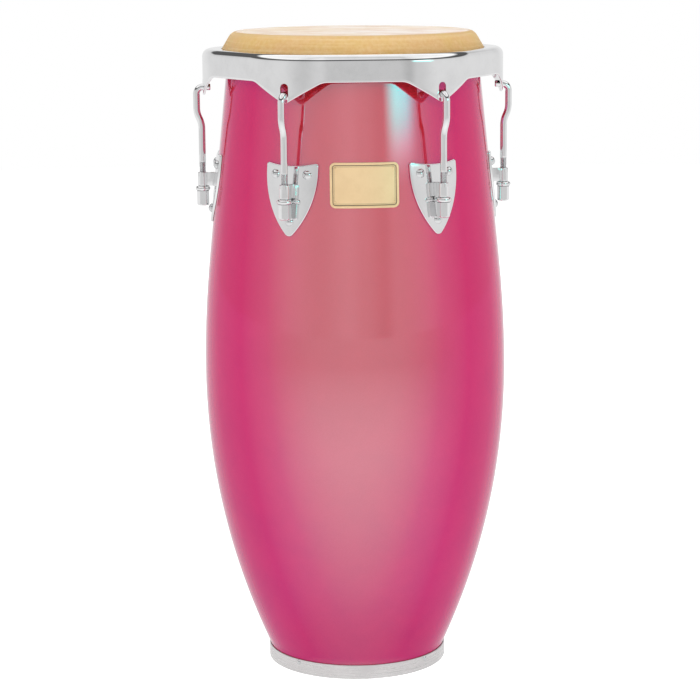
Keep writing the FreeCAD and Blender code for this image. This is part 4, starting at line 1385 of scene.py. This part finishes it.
@dataclass
class PlateBuilder:
    """Models the side plates and the badge as sheets that follow the shell."""

    finishes: Finishes
    plate_half: float = 32.4
    plate_top: float = 621.0
    plate_length: float = 86.0
    plate_dip: float = 4.0
    plate_shoulder: float = 10.0
    plate_face: float = 2.8
    plate_corner: float = 3.0
    plate_tip: float = 6.5
    badge_half_width: float = 39.0
    badge_half_height: float = 25.4
    badge_corner: float = 6.0
    badge_middle: float = 596.0
    line_low: float = 0.80
    line_high: float = 0.93

    @staticmethod
    def _wrap(side: float, height: float, proud: float) -> Point:
        """Point on the cone over a sideways distance and a height, facing +X."""
        radius = FORM.cone(height, proud)
        return (math.sqrt(radius ** 2 - side ** 2), side, height)

    @staticmethod
    def _inset(outline: Sequence[Section], distance: float) -> list[Section]:
        """Closed outline drawn in along its own normals.

        Args:
            outline: its points, anticlockwise.
            distance: how far it is drawn in.

        Returns:
            The drawn-in points, as many.
        """
        moved = []
        count = len(outline)
        for index, (side, height) in enumerate(outline):
            before = outline[index - 1]
            after = outline[(index + 1) % count]
            run = (after[0] - before[0], after[1] - before[1])
            length = math.hypot(*run) or 1.0
            moved.append((side - run[1] / length * distance, height + run[0] / length * distance))
        return moved

    @classmethod
    def _sheet(cls, name: str, outline: Sequence[Section], rows: Sequence[Point]) -> Item:
        """Sheet from rings of an anticlockwise outline.

        Args:
            name: name of the piece.
            outline: points as (sideways, height).
            rows: for each ring its inset, how proud it stands and its scale about the outline's middle.

        Returns:
            The closed sheet, facing +X.
        """
        heights = [height for _, height in outline]
        middle = (min(heights) + max(heights)) / 2.0
        rings = {inset: cls._inset(outline, inset) for inset, _, _ in rows}

        def place(row: int, column: int) -> Point:
            """Point of a ring, wrapped over the shell.

            Args:
                row: the ring, from 0.
                column: the step round the ring.

            Returns:
                The point in millimetres.
            """
            inset, proud, scale = rows[row]
            side, height = rings[inset][column]
            return cls._wrap(side * scale, middle + (height - middle) * scale, proud)

        return Modeller.rings(name, len(outline), len(rows), place)

    @staticmethod
    def _resample(outline: Sequence[Section], count: int) -> list[Section]:
        """Even points round a closed outline.

        Args:
            outline: its points.
            count: how many points to give back.

        Returns:
            The even points.
        """
        lengths = [0.0]
        closed = list(outline) + [outline[0]]
        for first, second in zip(closed, closed[1:]):
            lengths.append(lengths[-1] + math.dist(first, second))
        points = []
        segment = 0
        for index in range(count):
            along = lengths[-1] * index / count
            while lengths[segment + 1] < along:
                segment += 1
            share = (along - lengths[segment]) / max(lengths[segment + 1] - lengths[segment], 1e-9)
            first, second = closed[segment], closed[segment + 1]
            points.append(tuple(start + (end - start) * share for start, end in zip(first, second)))
        return points

    @staticmethod
    def _fillet(outline: Sequence[Section], corner: Section, radius: float) -> list[Section]:
        """Round one corner of a dense anticlockwise outline with an arc that touches both sides.

        Args:
            outline: its even points.
            corner: the corner, or a point near it.
            radius: radius of the arc.

        Returns:
            The outline with its corner rounded.
        """
        count = len(outline)
        middle = min(range(count), key=lambda index: math.dist(outline[index], corner))
        drawn_in = PlateBuilder._inset(outline, radius)
        window = int(3.0 * radius / math.dist(outline[0], outline[1])) + 2
        best = (1e9, 1, 1)
        for back in range(2, window):
            for ahead in range(2, window):
                first = drawn_in[(middle - back) % count]
                second = drawn_in[(middle + ahead) % count]
                best = min(best, (math.dist(first, second), back, ahead))
        _, back, ahead = best
        first, second = outline[(middle - back) % count], outline[(middle + ahead) % count]
        centre = drawn_in[(middle - back) % count]
        start = math.degrees(math.atan2(first[1] - centre[1], first[0] - centre[0]))
        end = math.degrees(math.atan2(second[1] - centre[1], second[0] - centre[0]))
        if end < start:
            end += 360.0
        kept = [outline[(middle + ahead + step) % count] for step in range(count - back - ahead + 1)]
        return kept + arc(centre, radius, start, end, 16)[1:-1]

    def _shield(self) -> list[Section]:
        """The side plate's outline, anticlockwise.

        Returns:
            Points as sideways distance and height.
        """
        half, top, length = self.plate_half, self.plate_top, self.plate_length
        dip, shoulder = self.plate_dip, self.plate_shoulder
        run = length - shoulder
        side_arc = (half ** 2 + run ** 2) / (2.0 * half)
        top_arc = (half ** 2 + dip ** 2) / (2.0 * dip)
        rise = math.degrees(math.asin(half / top_arc))
        swing = math.degrees(math.asin(run / side_arc))
        upper = arc((0.0, top - dip + top_arc), top_arc, -90.0 + rise, -90.0 - rise, 40)
        left = arc((side_arc - half, top - shoulder), side_arc, 180.0, 180.0 + swing, 60)
        right = arc((half - side_arc, top - shoulder), side_arc, -swing, 0.0, 60)
        outline = self._resample(upper + left + right[1:], 1200)
        for corner in ((half, top), (-half, top)):
            outline = self._fillet(outline, corner, self.plate_corner)
        outline = self._fillet(outline, (0.0, top - length), self.plate_tip)
        return self._resample(outline, 240)

    def side_plates(self) -> list[Piece]:
        """Six shield-shaped plates with soft edges.

        Returns:
            The side plates' pieces.
        """
        face = self.plate_face
        rows = [(0.0, 0.02, 0.0), (0.0, 0.02, 0.5), (0.5, 0.02, 1.0), (0.0, 0.35, 1.0), (0.0, 1.5, 1.0),
                (0.12, 2.1, 1.0), (0.42, 2.55, 1.0), (0.9, 2.76, 1.0), (1.4, face, 1.0), (1.4, face, 0.9),
                (1.4, face, 0.75), (1.4, face, 0.5), (1.4, face, 0.25), (0.0, face, 0.0)]
        plate = self._sheet("side_plate", self._shield(), rows)
        paint(plate, self.finishes.chrome)
        Modeller.smooth(plate, 40.0)
        return six_pieces(plate, "side_plate_pressed", "side_plate", "shell")

    def badge(self) -> Piece:
        """Plain badge with a raised border and a dark line inside it.

        Returns:
            The badge's piece.
        """
        reach = self.badge_half_width - self.badge_corner
        rise = self.badge_half_height - self.badge_corner
        outline = []
        for across, up, first in ((1, 1, 0.0), (-1, 1, 90.0), (-1, -1, 180.0), (1, -1, 270.0)):
            centre = (across * reach, self.badge_middle + up * rise)
            outline += arc(centre, self.badge_corner, first, first + 90.0, 10)
        outline = self._resample(outline, 200)
        rows = [(0.0, 0.02, 0.0), (0.0, 0.02, 0.5), (0.3, 0.02, 1.0), (0.0, 0.3, 1.0), (0.0, 1.2, 1.0),
                (0.2, 1.55, 1.0), (0.6, 1.7, 1.0), (1.9, 1.7, 1.0), (2.35, 1.6, 1.0), (2.6, 1.05, 1.0),
                (2.9, 1.0, 1.0), (3.05, 0.85, 1.0), (3.55, 0.85, 1.0), (3.7, 1.0, 1.0),
                (4.6, 1.0, 1.0), (4.7, 0.9, 1.0), (4.95, 0.9, 1.0), (5.05, 1.0, 1.0),
                (5.3, 1.0, 1.0), (5.3, 1.0, 0.8), (5.3, 1.0, 0.6), (5.3, 1.0, 0.4), (5.3, 1.0, 0.2),
                (0.0, 1.0, 0.0)]
        plate = self._sheet("badge_plain", outline, rows)
        ink = plate.data.attributes.new("ink", "FLOAT", "FACE")
        for face in plate.data.polygons:
            centre = face.center / MM
            outside = math.hypot(centre.x, centre.y) - FORM.cone(centre.z)
            proud = outside * math.cos(math.radians(FORM.taper))
            facing = centre.x > 0.0 and face.normal.x > 0.3
            ink.data[face.index].value = 1.0 if facing and self.line_low < proud < self.line_high else 0.0
        plate.data.transform(Matrix.Rotation(math.radians(-90.0), 4, "Z"))
        paint(plate, self.finishes.brass)
        Modeller.smooth(plate, 30.0)
        return Piece(plate, "shell", Slot.BADGE, ("badge_plate",))


@dataclass
class Studio:
    """Camera, floor, world and lamps."""

    focal_pixels: float = 2313.0
    image_pixels: float = 700.0
    distance: float = 2.746
    height: float = 0.879
    azimuth: float = -4.30
    pitch: float = 10.32
    roll: float = -0.4
    sideways_pixels: float = 5.0
    floor_radius: float = 6.0

    def camera(self) -> None:
        """Set the camera fitted to the photograph."""
        data = bpy.data.cameras.new("camera")
        data.sensor_width = 36.0
        data.lens = 36.0 * self.focal_pixels / self.image_pixels
        data.shift_x = -self.sideways_pixels / self.image_pixels
        data.clip_start = 0.1
        data.clip_end = 60.0
        item = bpy.data.objects.new("camera", data)
        bpy.context.scene.collection.objects.link(item)
        turn = math.radians(self.azimuth)
        item.location = (self.distance * math.sin(turn), -self.distance * math.cos(turn), self.height)
        pitch = math.radians(self.pitch)
        level = math.cos(pitch)
        look = Vector((-math.sin(turn) * level, math.cos(turn) * level, -math.sin(pitch)))
        facing = look.to_track_quat("-Z", "Y").to_matrix().to_4x4()
        spun = facing @ Matrix.Rotation(math.radians(self.roll), 4, "Z")
        item.rotation_euler = spun.to_euler()
        bpy.context.scene.camera = item

    def floor(self) -> None:
        """White floor under the drum."""
        Modeller.deselect()
        bpy.ops.mesh.primitive_circle_add(vertices=96, radius=self.floor_radius, fill_type="NGON")
        item = bpy.context.object
        item.name = "studio_floor"
        material = bpy.data.materials.new("studio_floor")
        material.use_nodes = True
        graph = NodeGraph(material.node_tree)
        place = graph.add("ShaderNodeTexCoord").outputs["Object"]
        cloud = graph.noise(place, 1.5, 3.0, 0.5)
        colour = graph.mix(cloud, (0.93, 0.93, 0.93), (0.96, 0.96, 0.96))
        path = graph.add("ShaderNodeLightPath")
        matt = graph.add("ShaderNodeBsdfDiffuse", {"Color": colour})
        glow = graph.add("ShaderNodeEmission", {"Color": (1.0, 1.0, 1.0, 1.0), "Strength": 0.62})
        seen = graph.add("ShaderNodeAddShader", {0: matt.outputs[0], 1: glow.outputs[0]})
        distance = graph.add("ShaderNodeVectorMath", {0: place}, operation="LENGTH").outputs["Value"]
        near = graph.ramp(graph.maths("DIVIDE", distance, self.floor_radius / 2.0),
                          [(0.05, 0.76), (0.083, 0.92), (0.14, 1.0), (0.27, 1.03), (0.54, 0.88),
                           (1.0, 0.66)])
        split = graph.add("ShaderNodeSeparateXYZ", {0: place})
        turn = graph.maths("ARCTAN2", split.outputs[0], graph.maths("MULTIPLY", split.outputs[1], -1.0))
        beside = graph.remap(graph.maths("ABSOLUTE", turn), math.radians(40.0), math.radians(95.0))
        tone = graph.mix(beside, near, (0.88, 0.88, 0.88))
        mirrored = graph.add("ShaderNodeEmission", {"Color": tone, "Strength": 1.0})
        both = graph.add("ShaderNodeMixShader", {0: path.outputs["Is Glossy Ray"], 1: seen.outputs[0],
                                                 2: mirrored.outputs[0]})
        graph.add("ShaderNodeOutputMaterial", {"Surface": both.outputs[0]})
        item.data.materials.append(material)

    def world(self) -> None:
        """White to the camera, a softer studio to everything else."""
        world = bpy.data.worlds.new("studio")
        bpy.context.scene.world = world
        world.use_nodes = True
        graph = NodeGraph(world.node_tree)
        path = graph.add("ShaderNodeLightPath")
        direction = graph.add("ShaderNodeTexCoord").outputs["Generated"]
        split = graph.add("ShaderNodeSeparateXYZ", {0: direction})
        across, back, up = split.outputs
        turn = graph.maths("ARCTAN2", across, graph.maths("MULTIPLY", back, -1.0))
        share = graph.maths("ADD", graph.maths("DIVIDE", turn, math.tau), 0.5)
        rise = graph.maths("ADD", graph.maths("MULTIPLY", up, 0.5), 0.5)

        by_height = (
            (-60.0, 0.80), (-10.0, 0.84), (0.0, 0.84), (10.0, 0.83), (22.0, 0.74), (26.0, 0.10),
            (37.0, 0.12), (42.0, 1.25), (85.0, 1.0),
        )
        by_turn = (
            (-150.0, 1.0), (-125.0, 0.92), (-105.0, 0.92), (-60.0, 0.92), (-30.0, 0.74), (-8.0, 0.84),
            (4.0, 0.74), (19.0, 0.62), (30.0, 0.78), (60.0, 0.95), (105.0, 0.94), (125.0, 0.94),
            (150.0, 1.0),
        )
        levels = graph.ramp(rise, [(0.5 + 0.5 * math.sin(math.radians(degrees)), level)
                                   for degrees, level in by_height])
        front = graph.ramp(share, [(0.5 + degrees / 360.0, level) for degrees, level in by_turn], "EASE")
        tone = graph.mix(1.0, levels, front, "MULTIPLY")
        mirrored = graph.add("ShaderNodeBackground", {"Color": tone, "Strength": 1.0})
        soft = graph.add("ShaderNodeBackground", {"Color": (1.0, 1.0, 1.0, 1.0), "Strength": 0.55})
        plain = graph.add("ShaderNodeBackground", {"Color": (1.0, 1.0, 1.0, 1.0), "Strength": 1.0})
        seen = graph.maths("MAXIMUM", path.outputs["Is Glossy Ray"], path.outputs["Is Transmission Ray"])
        inner = graph.add("ShaderNodeMixShader", {0: seen, 1: soft.outputs[0], 2: mirrored.outputs[0]})
        outer = graph.add("ShaderNodeMixShader", {0: path.outputs["Is Camera Ray"], 1: inner.outputs[0],
                                                  2: plain.outputs[0]})
        graph.add("ShaderNodeOutputWorld", {0: outer.outputs[0]})

    @staticmethod
    def _lamp(name: str, place: Point, target: Point, size: Section, power: float) -> None:
        """Rectangular lamp aimed at a point, in metres, kept out of mirror reflections.

        Args:
            name: name of the lamp.
            place: where it stands.
            target: where it points.
            size: its width and height.
            power: its watts.
        """
        data = bpy.data.lights.new(name, "AREA")
        data.shape = "RECTANGLE"
        data.size, data.size_y = size
        data.energy = power
        item = bpy.data.objects.new(name, data)
        item.location = place
        item.rotation_euler = (Vector(target) - Vector(place)).to_track_quat("-Z", "Y").to_euler()
        item.visible_glossy = False
        bpy.context.scene.collection.objects.link(item)

    @staticmethod
    def _card(name: str, place: Point, target: Point, size: Section, strength: float, tone: Point) -> None:
        """Soft-edged glowing card, in metres, that only mirror reflections see.

        Args:
            name: name of the card.
            place: where it stands.
            target: where it faces.
            size: its width and height.
            strength: its glow.
            tone: colour of its middle.
        """
        Modeller.deselect()
        bpy.ops.mesh.primitive_grid_add(x_subdivisions=4, y_subdivisions=4, size=2.0)
        item = bpy.context.object
        item.name = name
        item.scale = (size[0] / 2.0, size[1] / 2.0, 1.0)
        item.location = place
        item.rotation_euler = (Vector(target) - Vector(place)).to_track_quat("Z", "Y").to_euler()
        item.visible_camera = False
        item.visible_diffuse = False
        item.visible_shadow = False
        material = bpy.data.materials.new(name)
        material.use_nodes = True
        graph = NodeGraph(material.node_tree)
        split = graph.add("ShaderNodeSeparateXYZ", {0: graph.add("ShaderNodeTexCoord").outputs["Object"]})
        beside = graph.remap(graph.maths("ABSOLUTE", split.outputs[0]), 0.15, 1.0, 1.0, 0.0)
        above = graph.remap(graph.maths("ABSOLUTE", split.outputs[1]), 0.25, 0.75, 1.0, 0.0)
        fade = graph.maths("MULTIPLY", beside, above)
        aside = graph.maths("ABSOLUTE", graph.maths("ADD", split.outputs[1], 0.31))
        colour = graph.mix(graph.remap(aside, 0.10, 0.28), tone, (0.5, 0.88, 0.86))
        glow = graph.add("ShaderNodeEmission", {"Color": colour, "Strength": strength})
        clear = graph.add("ShaderNodeBsdfTransparent")
        both = graph.add("ShaderNodeMixShader", {0: fade, 1: clear.outputs[0], 2: glow.outputs[0]})
        graph.add("ShaderNodeOutputMaterial", {"Surface": both.outputs[0]})
        item.data.materials.append(material)

    def lamps(self) -> None:
        """Even lamps all round, and a soft card for the streak."""
        middle = (0.0, 0.0, 0.45)
        self._lamp("front_box", (-0.2, -3.6, 1.75), middle, (1.5, 1.3), 46.0)
        self._lamp("left_fill", (-2.6, -1.6, 1.2), middle, (1.2, 1.6), 26.0)
        self._lamp("right_fill", (2.7, -1.2, 1.1), middle, (1.2, 1.6), 26.0)
        self._lamp("back_fill", (0.3, 3.2, 1.3), middle, (1.4, 1.4), 34.0)
        self._lamp("top_light", (0.0, 0.3, 3.2), (0.0, 0.0, 0.7), (1.6, 1.6), 30.0)
        self._card("streak_card", (0.96, -1.322, 1.0), (0.04, -0.13, 0.74), (0.98, 0.76), 3.8,
                   (0.08, 1.0, 0.84))

    def build(self) -> None:
        """Set everything up."""
        bpy.context.scene.view_settings.view_transform = "Standard"
        self.camera()
        self.floor()
        self.world()
        self.lamps()


def finish_frame_nodes(finishes: Finishes) -> None:
    """Give the frame's own shown pieces their finish.

    Args:
        finishes: the drum's materials.
    """
    bright = ("base_band_screws", "side_plate_bolts")
    for name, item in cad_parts.items():
        if item.hide_render:
            continue
        if name in bright:
            paint(item, finishes.fastener)
        elif name == "badge_pins":
            paint(item, finishes.brass)
        else:
            paint(item, finishes.zinc)


def main() -> None:
    """Build the looks over the frame."""
    logging.basicConfig(level=logging.INFO)
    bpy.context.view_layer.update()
    finishes = Finishes()
    shell = ShellBuilder(finishes)
    lugs = LugBuilder(finishes)
    plates = PlateBuilder(finishes)
    made = [shell.shell(), shell.band(), HeadBuilder(finishes).head(), RimBuilder(finishes).rim()]
    made += [plates.badge()] + lugs.lugs() + lugs.nuts() + lugs.brackets() + plates.side_plates()
    for piece in made:
        piece.settle()
        LOG.info("%s on %s, %s", piece.item.name, piece.body, piece.slot.value)
    finish_frame_nodes(finishes)
    Studio().build()
    bpy.context.view_layer.update()
    LOG.info("%d pieces made", len(made))


if __name__ == "__main__":
    main()
